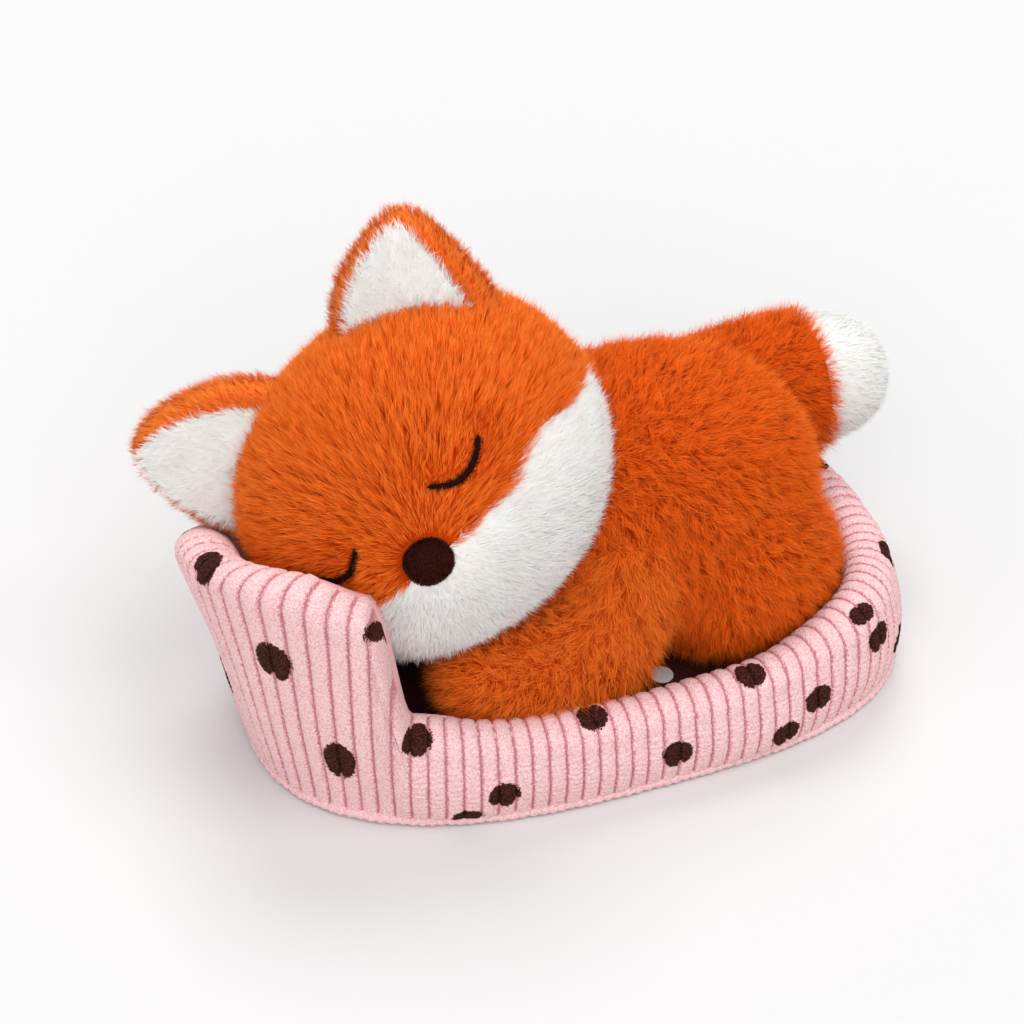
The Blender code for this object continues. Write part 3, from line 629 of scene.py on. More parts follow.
def onFace(right, up, lift):
    # the point of the skin straight ahead of a place given to the right and up, in metres, raised by lift:
    # each turn takes the depth from the skin and aims again
    way = np.stack([right, np.full_like(right, -head["radii"][1] * mm), up], axis=-1)
    for _ in range(12):
        way = unit(way)
        here = way * (headReach(way) + lift)[..., None]
        way = np.stack([right, here[..., 1], up], axis=-1)
    return outOfHead(here)


def isWhite(points, by=0.0):
    # below the line across the muzzle, which rises at the cheeks, and ahead of the panel's back edge
    local = inHead(points) / mm
    places, rises = np.array(facePanel["line"]).T
    rise = np.interp(np.abs(local[..., 0]) / facePanel["cheekPlace"], places, rises)
    line = facePanel["top"] + facePanel["cheekRise"] * rise
    return (local[..., 2] < line + by) & (local[..., 1] < facePanel["back"] + by)


ways = ballGrid(110, 168)
headGrid = outOfHead(ways * headReach(ways)[..., None])
headGrid, headFree = pulledIn(headCentre, headGrid, [(torso, clear["touch"])])
sunk = headCentre + (headGrid - headCentre) * np.where(isWhite(headGrid), facePanel["sunk"], 1.0)[..., None]
headSkin = skinFrom("head_skin", sunk, headFree, lambda p: headCentre, orangeFur, "head", "orange_plush",
                    ["head_cover"])


def patchOf(grid, chosen, centre, thickness):
    # a closed shell over the chosen faces of a ball's grid: the skin, the skin drawn in, and a rim between
    faces = gridFaces(*grid.shape[:2])
    faces = faces[chosen.reshape(-1)[faces].all(axis=1)]
    used, back = np.unique(faces, return_inverse=True)
    faces = back.reshape(-1, 4)
    skin = grid.reshape(-1, 3)[used]
    under = skin - unit(skin - centre) * thickness
    edges = np.concatenate([faces[:, [k, (k + 1) % 4]] for k in range(4)])
    count = len(used)
    keys = edges[:, 0].astype(np.int64) * count + edges[:, 1]
    twins = edges[:, 1].astype(np.int64) * count + edges[:, 0]
    rim = edges[~np.isin(keys, twins)]
    sides = np.stack([rim[:, 1], rim[:, 0], rim[:, 0] + count, rim[:, 1] + count], axis=1)
    return np.concatenate([skin, under]), np.concatenate([faces, faces[:, ::-1] + count, sides])


points, faces = patchOf(headGrid, isWhite(headGrid, facePanel["seam"]), headCentre, facePanel["thickness"])
closedPiece("face_skin", points, faces, whiteFur, "head", ["face_panel"],
            {"strand": np.tile([0.5, 0.35], (len(points), 1))})

eyeLines = {}
for name, side in (("eye_left", 1), ("eye_right", -1)):
    across = np.linspace(-1, 1, eyes["stations"])
    right = (side * eyes["spacing"] / 2 + across * eyes["width"] / 2) * mm
    up = (eyes["level"] - eyes["sag"] * (1 - across ** 2)) * mm
    eyeLines[name] = onFace(right, up, eyes["lift"] * mm)
noseCentre = onFace(np.array([0.0]), np.array([-nose["dip"] * mm]), -nose["sink"] * mm)[0]


def faceRule(white):
    # no strand grows under the nose, those beside the eyes are short, so that the stitches show, and so are
    # those of the muzzle; only the white panel's strands are kept, or only the others
    def rule(root, rng):
        # keep by place and by chance; the scale is the smallest share that holds there
        local = inHead(root)
        keep = np.linalg.norm((local - inHead(noseCentre)) / mm / headTrim["noseOval"], axis=1) > 1
        scale = np.ones(len(root))
        for line in eyeLines.values():
            near = np.sqrt(((root[:, None, :] - line[None, ::4]) ** 2).sum(axis=-1)).min(axis=1) / mm
            keep &= (near > headTrim["eyeClear"]) | (rng.random(len(root)) < headTrim["eyeStray"])
            scale = np.minimum(scale, np.clip(near / headTrim["eyeFade"], headTrim["eyeShort"], 1))
        far = np.linalg.norm(local / mm - headTrim["muzzleAt"], axis=1)
        least, start = headTrim["muzzleShort"]
        scale *= np.clip(start + far / headTrim["muzzleFade"], least, 1)
        return keep & (isWhite(root) == white), scale
    return rule


def headFlow(root):
    # away from the nose, back over the head
    return root - noseCentre


growPile("head_pile", headSkin, headStyle, headFlow, orangeFur, faceRule(False))
growPile("face_pile", dict(headSkin, slot="white_plush", grid=capped(headGrid)), cheekStyle, headFlow,
         whiteFur, faceRule(True))

# nose: a felted oval with short flock
noseStyle = dict(basePile, density=20, length=0.9, width=0.12, lean=(30, 50), clump=1.0,
                 clumpPull=0.2, wander=60, stray=0.1, seed=13)
ways = ballGrid(40, 64)
noseGrid = outOfHead(inHead(noseCentre) + ways * ballReach(ways, nose["radii"], nose["power"])[..., None])
noseSkin = skinFrom("nose_felt", noseGrid, True, lambda p: noseCentre, noseFlock, "head",
                    "brown_nose_plush", ["nose"])
growPile("nose_flock", noseSkin, noseStyle, lambda p: np.tile(nose["flow"], (len(p), 1)), noseFlock)

# eyes: a raised band of satin stitches along each arc, a flat oval carried along the line
eyeFuzz = dict(basePile, density=9, length=1.3, width=0.13, lean=(30, 60), clump=0.8,
               clumpPull=0.3, wander=70, stray=0.2, shades=(0.0, 0.5), seed=14)
for name, line in eyeLines.items():
    ahead = unit(np.gradient(line, axis=0))
    out = line - headCentre
    out = unit(out - ahead * dot(out, ahead))
    side = np.cross(ahead, out)
    share = np.linspace(0, 1, len(line))
    slim = np.sqrt(np.clip(1 - (2 * share - 1) ** eyes["endPower"], 0.0, 1))[:, None, None]
    turn = np.linspace(0, 2 * math.pi, eyes["columns"], endpoint=False)
    ripple = 1 + eyes["ripple"] * np.sin(np.arange(len(line)) * eyes["rippleStep"])[:, None, None]
    section = (side[:, None] * np.cos(turn)[:, None] * eyes["bandWidth"] / 2
               + out[:, None] * np.sin(turn)[:, None] * eyes["bandHeight"] / 2) * mm * slim * ripple
    grid = capped(line[:, None] + section)
    steps = np.concatenate([[0], share, [1]]) * eyes["width"] * eyes["bow"] / eyes["stitch"]
    stitch = np.stack([np.repeat(steps, len(turn)), np.tile(turn / math.pi, len(steps))], axis=1)
    closedPiece(name + "_stitch", grid.reshape(-1, 3), gridFaces(*grid.shape[:2]), thread, "head",
                [name], maps={"stitch": stitch})
    band = {"grid": grid, "free": np.ones(grid.shape[:2], bool), "body": "head", "slot": "brown_thread",
            "middle": lambda p: line[nearestOn(line, p)]}
    growPile(name + "_fuzz", band, eyeFuzz, headFlow, noseFlock)
print("head made")


# Ears

ears = {
    "left": {"lean": 45, "reach": 74, "side": 1, "width": 60, "taper": 0.64, "tipShift": 8,
             "cloth": (0.76, 0.90, 3)},  # the white cloth's share of the width and height, and its shift
    "right": {"lean": 43.5, "reach": 79, "side": -1, "width": 54, "taper": 0.45, "tipShift": 2,
              "cloth": (0.77, 0.95, -1.2)},
    "root": 28, "behind": 6.0, "ahead": 4.0, "frontThick": 1.4, "columns": 96,
    "backRings": 12, "flatRings": (0.74, 0.55, 0.35, 0.15), "clothRings": (0.8, 0.6, 0.4, 0.2),
    "middleShare": 0.6, "fan": 25 * mm, "seam": 0.3, "shortFrom": -1.0, "short": 0.7,
}
# the ears' strands start far along the colours and reach the tip colour early: painted light, as the thin
# ears are lit through
earStyle = dict(basePile, density=10.0, shades=(0.45, 1.15), length=5.6, lean=(40, 72), clump=1.2,
                clumpPull=0.2, wander=24, stray=0.22, strayLength=0.9, soft=0.85, seed=21)
earWhiteStyle = dict(basePile, density=5.5, length=4.4, width=0.14, lean=(48, 76), clump=1.5,
                     clumpPull=0.05, wander=22, stray=0.22, strayLength=0.8, soft=1.0, seed=22)


def makeEar(which):
    # rings of one outline, a triangle with bowed sides: they shrink over the round back and the flatter front
    ear = ears[which]
    name, side = "ear_" + which, ear["side"]
    earFrame = headFrame @ turned("Y", ear["lean"] * side)
    height = ear["reach"] - ears["root"]
    turn = np.linspace(0, 2 * math.pi, ears["columns"], endpoint=False)
    up = (1 - np.cos(turn)) / 2
    wide = ear["width"] / 2 * np.sin(turn) * (1 - ear["taper"] * up) - ear["tipShift"] * up
    middle = height / 2

    def place(share, deep, size=(1, 1, 0)):
        # the outline drawn in to a share, at a depth before or behind the ear's middle plane
        across = wide * share * size[0] - size[2]
        tall = ears["root"] + middle + (height * up - middle) * share * size[1]
        local = np.stack([across * side, np.full_like(across, deep), tall], axis=-1)
        return headCentre + local * mm @ earFrame.T

    ahead = ears["ahead"]
    grid = [place(math.sin(a), ears["behind"] * math.cos(a))
            for a in np.linspace(0, math.pi / 2, ears["backRings"])[1:]]
    grid += [place(1 - 0.12 * t, -ahead * math.sin(t * math.pi / 2)) for t in np.linspace(0.15, 1, 7)]
    grid = np.stack(grid + [place(share, -ahead) for share in ears["flatRings"]])
    centre = headCentre + np.array([0, 0, ears["root"] + height * ears["middleShare"]]) * mm @ earFrame.T
    grid, free = pulledIn(centre, grid, [(head, clear["touch"])])
    # the ear's skin takes the paler middle of the strand's colours: less painted shade under its pile
    skin = skinFrom(name + "_skin", grid, free, lambda p: centre, earFur, name, "orange_plush",
                    [name + "_back"], 0.5)

    def rimRule(root, rng):
        # no hair under the white cloth: on the front, only outside its outline
        local = (root - headCentre) @ earFrame / mm
        wideShare, highShare, shift = ear["cloth"]
        rise = ((local[:, 2] - ears["root"] - middle) / highShare + middle) / height
        rise = np.clip(rise, 0, 1)
        half = ear["width"] * np.sqrt(rise * (1 - rise)) * (1 - ear["taper"] * rise) * wideShare
        off = np.abs(local[:, 0] * side + ear["tipShift"] * rise * wideShare + shift)
        covered = (local[:, 1] < -ahead * 0.7) & (off < half + ears["seam"]) & (rise < 1)
        return ~covered, np.where(local[:, 1] < ears["shortFrom"], ears["short"], 1.0)

    def flow(root):
        # up to the tip and outwards from the middle
        return np.tile(earFrame[:, 2], (len(root), 1)) + (root - centre) / ears["fan"]

    growPile(name + "_pile", skin, dict(earStyle, seed=earStyle["seed"] + side), flow, earFur, rimRule)
    low, thick, size = -ahead - 0.2, ears["frontThick"], ear["cloth"]
    grid = [place(share, low, size) for share in (0.25, 0.6, 0.9, 1.0)]
    grid += [place(1.02 - 0.06 * t, low - thick * math.sin(t * math.pi / 2), size) for t in (0.4, 0.75, 1)]
    grid += [place(share, low - thick * (1.25 - 0.25 * share), size) for share in ears["clothRings"]]
    grid = np.stack(grid)
    inner = grid[-1].mean(axis=0) + earFrame @ np.array([0, 0.8 * mm, 0])
    grid, free = pulledIn(inner, grid, [(head, clear["touch"])])
    front = skinFrom(name + "_front_skin", grid, free, lambda p: p + earFrame[:, 1] * mm, whiteFur, name,
                     "white_plush", [name + "_front"])
    front["free"][:3] = False  # the rings at the back lie on the ear
    style = dict(earWhiteStyle, seed=earWhiteStyle["seed"] + 2 * side)
    growPile(name + "_front_pile", front, style, flow, whiteFur)


makeEar("left")
makeEar("right")
print("ears made")


# Torso, haunches, arms and tail

bodyStyle = dict(basePile, density=5.8, shades=(0.08, 0.74), length=6.2, lean=(26, 62), clump=1.7,
                 clumpPull=0.24, wander=40, stray=0.3, soft=0.6, seed=31)
underHead = {"deep": -26 * mm, "near": 0.5 * mm, "scale": 0.42}  # where a bent neck uncovers the torso
bodyRun = {"back": (1.0, 0.0, -0.2), "side": (-0.4, 0.0, -1.6)}
haunch = {
    "sink": 1.5 * mm, "gap": -1.0 * mm, "fan": 25 * mm, "fanShare": 0.6, "run": (0.35, -0.1, -0.8),
    "bell": 3.0, "bellWidth": 9, "bellX": (24, 38), "bellY": (-2, 8),  # fills the crease at the torso
    "slant": 8 * mm, "slantZ": (34, 62), "slantX": (46, 74),  # draws the upper haunch in towards the torso
}


def bodyFlow(root):
    # from the neck to the tail along the back, and more and more downwards on the sides
    aside = np.abs(root[:, 1:2] / mm - torso["centre"][1]) / torso["radii"][1]
    return np.array(bodyRun["back"]) + aside ** 2 * np.array(bodyRun["side"])


def torsoRule(root, rng):
    # clear of the haunches; short under the head
    blockers = [(haunchLeft, haunch["gap"]), (haunchRight, haunch["gap"]), (head, underHead["deep"])]
    apart = depthIn(head, root, underHead["near"]) > 1
    return isClear(root, blockers), np.where(apart, 1.0, underHead["scale"])


ways = ballGrid(110, 160)
torsoGrid = torsoCentre + ways * ballReach(ways, torso["radii"], torso["power"])[..., None]
torsoSkin = skinFrom("torso_skin", torsoGrid, True, lambda p: torsoCentre, orangeFur, "torso",
                     "orange_plush", ["torso_cover"])
growPile("torso_pile", torsoSkin, bodyStyle, bodyFlow, orangeFur, torsoRule)


def sewnOnto(grid, form, sink):
    # the points inside another form are moved out along its rays to just under its skin, as sewn-on parts lie
    centre = np.array(form["centre"]) * mm
    away = grid - centre
    far = np.linalg.norm(away, axis=-1)
    reach = far / depthIn(form, grid) - sink
    return centre + away * (np.maximum(far, reach) / far)[..., None], far > reach + sink


def makeHaunch(name, form, style, shaped):
    # a ball sewn to the torso; if shaped, a bell fills it out where they meet and its top slants in
    centre = np.array(form["centre"]) * mm
    ways = ballGrid(90, 132)
    grid = centre + ways * ballReach(ways, form["radii"], form["power"])[..., None]
    if shaped:
        off = np.linalg.norm(grid - torsoCentre, axis=-1) * (1 - 1 / depthIn(torso, grid)) / mm
        bell = np.exp(-(np.maximum(off, 0) / haunch["bellWidth"]) ** 2)
        bell = bell * eased(grid[..., 0] / mm, haunch["bellX"])
        bell = bell * (1 - eased(grid[..., 1] / mm, haunch["bellY"])) * haunch["bell"] * mm
        grid = grid + ways * bell[..., None]
        slant = eased(grid[..., 2] / mm, haunch["slantZ"]) * eased(grid[..., 0] / mm, haunch["slantX"])
        grid = grid - np.array([1.0, 0, 0]) * (slant * haunch["slant"])[..., None]
    grid, free = sewnOnto(grid, torso, haunch["sink"])
    skin = skinFrom(name + "_skin", grid, free, lambda p: centre, orangeFur, "torso", "orange_plush",
                    [name])

    def flow(root):
        # round the haunch and down to the foot
        return (root - centre) / haunch["fan"] * haunch["fanShare"] + np.array(haunch["run"])

    growPile(name + "_pile", skin, style, flow, orangeFur)


makeHaunch("leg_left", haunchLeft, dict(bodyStyle, seed=32), True)
makeHaunch("leg_right", haunchRight, dict(bodyStyle, seed=33, density=4), False)

limbs = {
    "arm_left": {"path": ((10, -20, 70), (8, -29, 16), (-46, -25.5, 33)), "radius": 16, "rootShare": 0.8,
                 "seed": 41},
    "arm_right": {"path": ((12, 30, 52), (-14, 27, 34), (-48, 22, 27)), "radius": 12, "rootShare": 0.8,
                  "seed": 42},
    "tail": {"path": ((38, 29, 62), (68, 34, 58), (111, 32, 59)), "radius": 18.5, "rootShare": 0.7,
             "seed": 43},
    "fullShare": 0.62, "rootEnd": 0.12, "endPower": 2.6, "whiteFrom": 0.72, "seam": 0.004,
    "columns": 72, "stations": 60, "droop": 0.25, "step": 0.01,
}
paw = {"endX": (44, 56), "endShort": 0.35, "overY": (30, 37), "overZ": (30, 38), "overLong": 0.45}
# the arms' strands start further along the colours, so the arms are paler: painted light where the head
# shades them
armStyle = dict(bodyStyle, length=6.6, shades=(0.36, 0.8))
tailStyle = dict(bodyStyle, shades=(0.0, 0.74))
tipStyle = dict(cheekStyle, length=4.0, lean=(46, 74), density=5)


def curvePoint(path, share):
    # the curve that leaves the first point, passes by the second and ends at the third
    a, b, c = (np.array(p) * mm for p in path)
    s = np.asarray(share)[..., None]
    return a * (1 - s) ** 2 + 2 * b * s * (1 - s) + c * s ** 2


def limbGrid(limb, first, last, rings):
    # rings square to the path; the radius swells from its root and closes in a round end
    even = (1 - np.cos(math.pi * (np.arange(rings) + 0.5) / rings)) / 2
    share = first + (last - first) * even
    path = limb["path"]
    before, after = np.maximum(share - limbs["step"], 0), np.minimum(share + limbs["step"], 1)
    ahead = unit(curvePoint(path, after) - curvePoint(path, before))
    side = unit(np.cross(ahead, [0, 0, 1.0]))
    top = np.cross(side, ahead)
    full, power = limbs["fullShare"], limbs["endPower"]
    root = limb["radius"] * limb["rootShare"]
    swell = root + (limb["radius"] - root) * np.sin(math.pi / 2 * np.minimum(1, share / full))
    past = np.maximum(0, (share - full) / (1 - full))
    before = np.maximum(0, 1 - share / limbs["rootEnd"])
    radius = swell * ((1 - past ** power) * (1 - before ** power)) ** (1 / power) * mm
    if first > 0:
        radius[0] = radius[1]
    turn = np.linspace(0, 2 * math.pi, limbs["columns"], endpoint=False)
    around = side[:, None] * np.cos(turn)[:, None] + top[:, None] * np.sin(turn)[:, None]
    return curvePoint(path, share)[:, None] + around * radius[:, None, None]


def makeLimb(name, limb, blockers, body, slot, material, style, first=0.0, last=1.0, rings=64, rule=None):
    # the skin drawn clear of its neighbours, with pile that runs along the path and a little down
    grid = limbGrid(limb, first, last, rings)
    grid = grid[isClear(grid, blockers).any(axis=1)]  # rings wholly inside a neighbour are left out
    grid, free = pulledIn(freeMiddle(grid, blockers), grid, blockers)
    line = curvePoint(limb["path"], np.linspace(0, 1, limbs["stations"]))
    ahead = unit(np.gradient(line, axis=0))
    skin = skinFrom(name + "_skin", grid, free, lambda p: line[nearestOn(line, p)], material, body, slot,
                    [name])

    def flow(root):
        # the path's direction at its nearest point
        return ahead[nearestOn(line, root)] + np.array([0, 0, -limbs["droop"]])

    growPile(name + "_pile", skin, dict(style, seed=limb["seed"]), flow, material, rule)


def pawRule(root, rng):
    # shorter at the paw's end, longer below, where the pile lies over the rim of the bed
    x, y, z = root.T / mm
    over = eased(-y, paw["overY"]) * (1 - eased(z, paw["overZ"]))
    scale = (1 - paw["endShort"] * eased(-x, paw["endX"])) * (1 + paw["overLong"] * over)
    return np.ones(len(root), bool), scale


onTorso = (torso, clear["touch"])
for name in ("arm_left", "arm_right"):
    makeLimb(name, limbs[name], [onTorso, (head, clear["limb"]), (haunchLeft, clear["limb"])], name,
             "orange_plush", orangeFur, armStyle, rule=pawRule)
makeLimb("tail", limbs["tail"], [onTorso, (haunchLeft, clear["touch"]), (haunchRight, clear["limb"])], "tail",
         "orange_plush", orangeFur, tailStyle, last=limbs["whiteFrom"])
makeLimb("tail_tip", limbs["tail"], [onTorso], "tail", "white_plush", whiteFur, tipStyle,
         limbs["whiteFrom"] + limbs["seam"], rings=40)
print("body made")


# Bed, in millimetres

bed = {
    "length": 193, "width": 115, "headPower": 2.45, "footPower": 3.0, "thickness": 15, "belly": 2.0,
    "leanPower": 1.5, "floorHeight": 6.3, "coverBottom": 2.4, "ribPitch": 4.8, "ribDepth": 1.2,
    # round the bed in degrees from the middle of the foot end, the far side first: a value to start with,
    # then each span of degrees over which it passes to the next one
    "height": (40, ((40, 80), 44), ((90, 138), 50), ((138, 202), 87), ((208, 225), 79),
               ((223.5, 232.5), 35), ((232, 262), 29.0), ((264, 330), 40)),
    "lean": (-4.0, ((100, 176), 16.5), ((190, 238), 1.5), ((300, 350), -4.0)),
    "lip": (2.05, ((196, 216), 1.70), ((234, 250), 2.05)),  # where the corduroy ends on the wall's way over
}
upward = np.array([0, 0, 1.0])


def outline(turn, inset=0.0):
    # the bed's foot from above, a squared oval, and the way out of it
    c, s = np.cos(turn), np.sin(turn)
    a, b = bed["length"] / 2, bed["width"] / 2
    n = np.where(c > 0, bed["footPower"], bed["headPower"])
    x, y = a * np.sign(c) * np.abs(c) ** (2 / n), b * np.sign(s) * np.abs(s) ** (2 / n)
    out = (np.sign(c) * np.abs(x / a) ** (n - 1) / a, np.sign(s) * np.abs(y / b) ** (n - 1) / b, 0 * x)
    out = unit(np.stack(out, axis=-1))
    return np.stack([x, y, 0 * x], axis=-1) - out * inset, out


def evenTurns(count, offsets=(0.0,)):
    # turns that divide the outline into count equal lengths, each with stations at the given offsets
    fine = np.linspace(0, 2 * math.pi, 60001)
    places, _ = outline(fine)
    length = np.concatenate([[0], np.cumsum(np.linalg.norm(np.diff(places, axis=0), axis=1))])
    wanted = (np.arange(count)[:, None] + np.array(offsets)[None]).ravel()
    return np.interp(wanted / count * length[-1], length, fine), wanted, length[-1]


def roundBed(stops, turn):
    # the first value plus each change, eased over its span of degrees
    degrees = np.degrees(turn) % 360
    values = [stops[0]] + [value for _, value in stops[1:]]
    changes = zip(values, values[1:], (span for span, _ in stops[1:]))
    return stops[0] + sum((after - before) * eased(degrees, span) for before, after, span in changes)


def wallSurface(turn, share):
    # share 0 is the outer foot, 1 the outer shoulder, 2 the inner shoulder, 3 the inner foot
    foot, out = outline(turn)
    height, lean = roundBed(bed["height"], turn)[:, None], roundBed(bed["lean"], turn)[:, None]
    half = bed["thickness"] / 2
    shoulder = height - half
    low, over = share < 1, (share >= 1) & (share <= 2)
    angle = math.pi * (np.clip(share, 1, 2) - 1)
    inset = np.where(low, -bed["belly"] * np.sin(math.pi * np.clip(share, 0, 1)),
                     np.where(over, half - half * np.cos(angle), bed["thickness"]))
    inner = shoulder + (bed["floorHeight"] - shoulder) * (share - 2)
    z = np.where(low, bed["coverBottom"] + (shoulder - bed["coverBottom"]) * share,
                 np.where(over, shoulder + half * np.sin(angle), inner))
    rise = np.clip(z / height, 0, 1.2)
    flat = foot[:, None] - out[:, None] * (inset - lean * rise ** bed["leanPower"])[..., None]
    return flat + upward * z[..., None]


def normalsOf(grid):
    # across the closed rows and along the lines, by the cross product of both differences
    return unit(np.cross(np.roll(grid, -1, axis=0) - np.roll(grid, 1, axis=0), np.gradient(grid, axis=1)))


def rumple(length, height):
    # slow swells of the padding, in millimetres: three waves of different lengths
    return (0.45 * np.sin(length / 13.0 + 0.7) * np.sin(height / 11.0 + 1.1)
            + 0.35 * np.sin(length / 7.3 + height / 17.0) + 0.2 * np.sin(length / 29.0 - height / 9.0))


# Corduroy cover. The dots of its print: turn in degrees and millimetres up the cloth from the foot, then how
# much taller than wide a dot is, if it isn't round; first those in sight
dots = (
    (188, 80.8, 1.2), (204.8, 58.3, 1.6), (177, 21, 1.4), (217.4, 22.8, 1.75), (228, 71.5), (234.2, 31.4),
    (250.5, 10.7), (265.2, 30.6), (244, 1.8), (272, 11.9), (282.5, 31.4), (295, 15.6), (287.8, 7.6),
    (11, 41.3), (310.2, 35.0, 0.6), (314, 25.1), (330, 12), (343, 34), (357, 14), (24, 17), (40, 38),
    (54, 13), (69, 34), (84, 12), (98, 36), (112, 14), (126, 38), (140, 16), (151, 43), (163, 20), (168, 62),
)
cover = {
    "stations": (0.0, 0.07, 0.22, 0.5, 0.78, 0.93),  # across each rib
    "sideRows": 106, "rimRows": 24, "backRows": (6, 8), "backing": 1.15, "noDot": 9.0,
    "round": 0.985, "full": 0.85, "base": 0.62, "fuzz": 0.05,
    "bead": 0.2, "beadPitch": 1.9, "beadDrift": 0.8, "driftPitch": 3.1, "ends": (2.5, 1.5),
}


def upTo(lip, foot, over):
    # shares of the outer side, then shares evenly over the rim up to the lip of each line
    side = np.broadcast_to(np.linspace(0, 1, foot, endpoint=False), (len(lip), foot))
    return np.concatenate([side, 1 + (lip[:, None] - 1) * np.linspace(0, 1, over)], axis=1)


def dotReach(length, climb, total):
    # distance in millimetres to the nearest dot of the print, measured on the cloth
    reach = np.full(climb.shape, cover["noDot"])
    fine = np.concatenate([evenTurns(4000)[0], [2 * math.pi]])
    for degrees, high, *tall in dots:
        at = np.interp(math.radians(degrees % 360), fine, np.arange(4001) / 4000 * total)
        off = np.abs(length - at)
        off = np.minimum(off, total - off)
        reach = np.minimum(reach, np.sqrt(off ** 2 + ((climb - high) / (tall[0] if tall else 1)) ** 2))
    return reach


def makeCover():
    # the wall's outer side and rim, raised by rounded ribs, beads of tufts, fuzz and the padding's swells
    ribs = round(evenTurns(8)[2] / bed["ribPitch"])
    turn, rib, total = evenTurns(ribs, cover["stations"])
    lip = roundBed(bed["lip"], turn)
    grid = wallSurface(turn, upTo(lip, cover["sideRows"], cover["rimRows"]))
    step = np.linalg.norm(np.diff(grid, axis=1), axis=2)
    climb = np.concatenate([np.zeros((len(turn), 1)), np.cumsum(step, axis=1)], axis=1)
    length = (rib / ribs * total)[:, None]
    part = rib % 1
    ridge = np.sqrt(np.clip(1 - (2 * part - 1) ** 2 * cover["round"], 0, 1))
    ridge = ridge * cover["full"] + (1 - cover["full"]) * np.sin(math.pi * part)
    rng = np.random.default_rng(5)
    fuzz = rng.normal(0, cover["fuzz"], grid.shape[:2])
    # beads along each rib, strongest on its flanks, each flank with its own start
    whole = (2 * np.floor(rib) + (part > 0.5)).astype(int) % (2 * ribs)
    start = (rng.random(2 * ribs)[whole] * 2 * math.pi)[:, None]
    flank = np.sin(2 * math.pi * np.minimum(part, 1 - part))[:, None]
    drift = cover["beadDrift"] * np.sin(climb / cover["driftPitch"] + start)
    beads = cover["bead"] * flank * np.sin(climb * 2 * math.pi / cover["beadPitch"] + start + drift)
    foot, over = cover["ends"]
    ends = np.clip(climb / foot, 0, 1) * np.clip((climb[:, -1:] - climb) / over, 0, 1)
    rise = (ridge[:, None] - cover["base"]) * bed["ribDepth"] + fuzz + beads + rumple(length, climb)
    skin = grid + normalsOf(grid) * (rise * ends)[..., None]
    under = wallSurface(turn, upTo(lip, *cover["backRows"]))
    shell = np.concatenate([skin, (under - normalsOf(under) * cover["backing"])[:, ::-1]], axis=1)
    back = under.shape[1]
    cloth = np.stack([np.broadcast_to(rib[:, None], climb.shape), climb], axis=-1)
    cloth = np.concatenate([cloth, np.repeat(cloth[:, -1:], back, axis=1)], axis=1)
    beyond = np.full((len(turn), back), cover["noDot"])
    reach = np.concatenate([dotReach(length, climb, total), beyond], axis=1)
    closedPiece("wall_cover", shell.reshape(-1, 3) * mm, gridFaces(*shell.shape[:2], True), clothCorduroy,
                "bed", ["bed_wall_cover"], {"cloth": cloth.reshape(-1, 2)},
                {"dotReach": reach.ravel()})


makeCover()

# lining: one smooth sheet of minky inside the wall, a little loose
lining = {"lines": 360, "rows": 26, "overlap": 0.06, "thickness": 0.8, "loose": 0.9, "swell": 0.3}
turn, rib, total = evenTurns(lining["lines"])
lip = roundBed(bed["lip"], turn)[:, None] - lining["overlap"]
down = np.linspace(0, 1, lining["rows"])
grid = wallSurface(turn, lip + (3 - lip) * down)
normal = normalsOf(grid)
length = (rib / lining["lines"] * total)[:, None]
loose = rumple(length * 1.3 + 20, down[None] * 30) * lining["loose"] + lining["swell"]
skin = grid + normal * (loose * np.sin(math.pi * down) ** 0.7)[..., None]
shell = np.concatenate([skin, (grid - normal * lining["thickness"])[:, ::-1]], axis=1)
closedPiece("wall_lining", shell.reshape(-1, 3) * mm, gridFaces(*shell.shape[:2], True), minky, "bed",
            ["bed_wall_lining"])

# welt: a rolled seam round the foot, its pile in fine and coarse beads
welt = {"lines": 800, "columns": 18, "inset": 0.8, "height": 2.1, "radius": 1.65, "fuzz": 0.04,
        "bead": 0.2, "beadPitch": 0.45, "swell": 0.1, "swellPitch": 1.9}
turn, rib, total = evenTurns(welt["lines"])
foot, out = outline(turn, welt["inset"])
angle = np.linspace(0, 2 * math.pi, welt["columns"], endpoint=False)
length = rib / welt["lines"] * total
bead = (welt["radius"] + welt["bead"] * np.sin(length / welt["beadPitch"] + np.sin(rib / 9.0))
        + welt["swell"] * np.sin(length / welt["swellPitch"] + 1))
size = (welt["lines"], welt["columns"])
radius = bead[:, None] + np.random.default_rng(6).normal(0, welt["fuzz"], size)
around = out[:, None] * np.cos(angle)[:, None] + upward * np.sin(angle)[:, None]
grid = foot[:, None] + upward * welt["height"] + around * radius[..., None]
cloth = np.stack([np.full(radius.size, 0.5), np.tile(angle, welt["lines"])], axis=1)
closedPiece("base_welt", grid.reshape(-1, 3) * mm, gridFaces(*size, True), clothCorduroy, "bed",
            ["bed_base_welt"], {"cloth": cloth},
            {"dotReach": np.full(radius.size, cover["noDot"])})

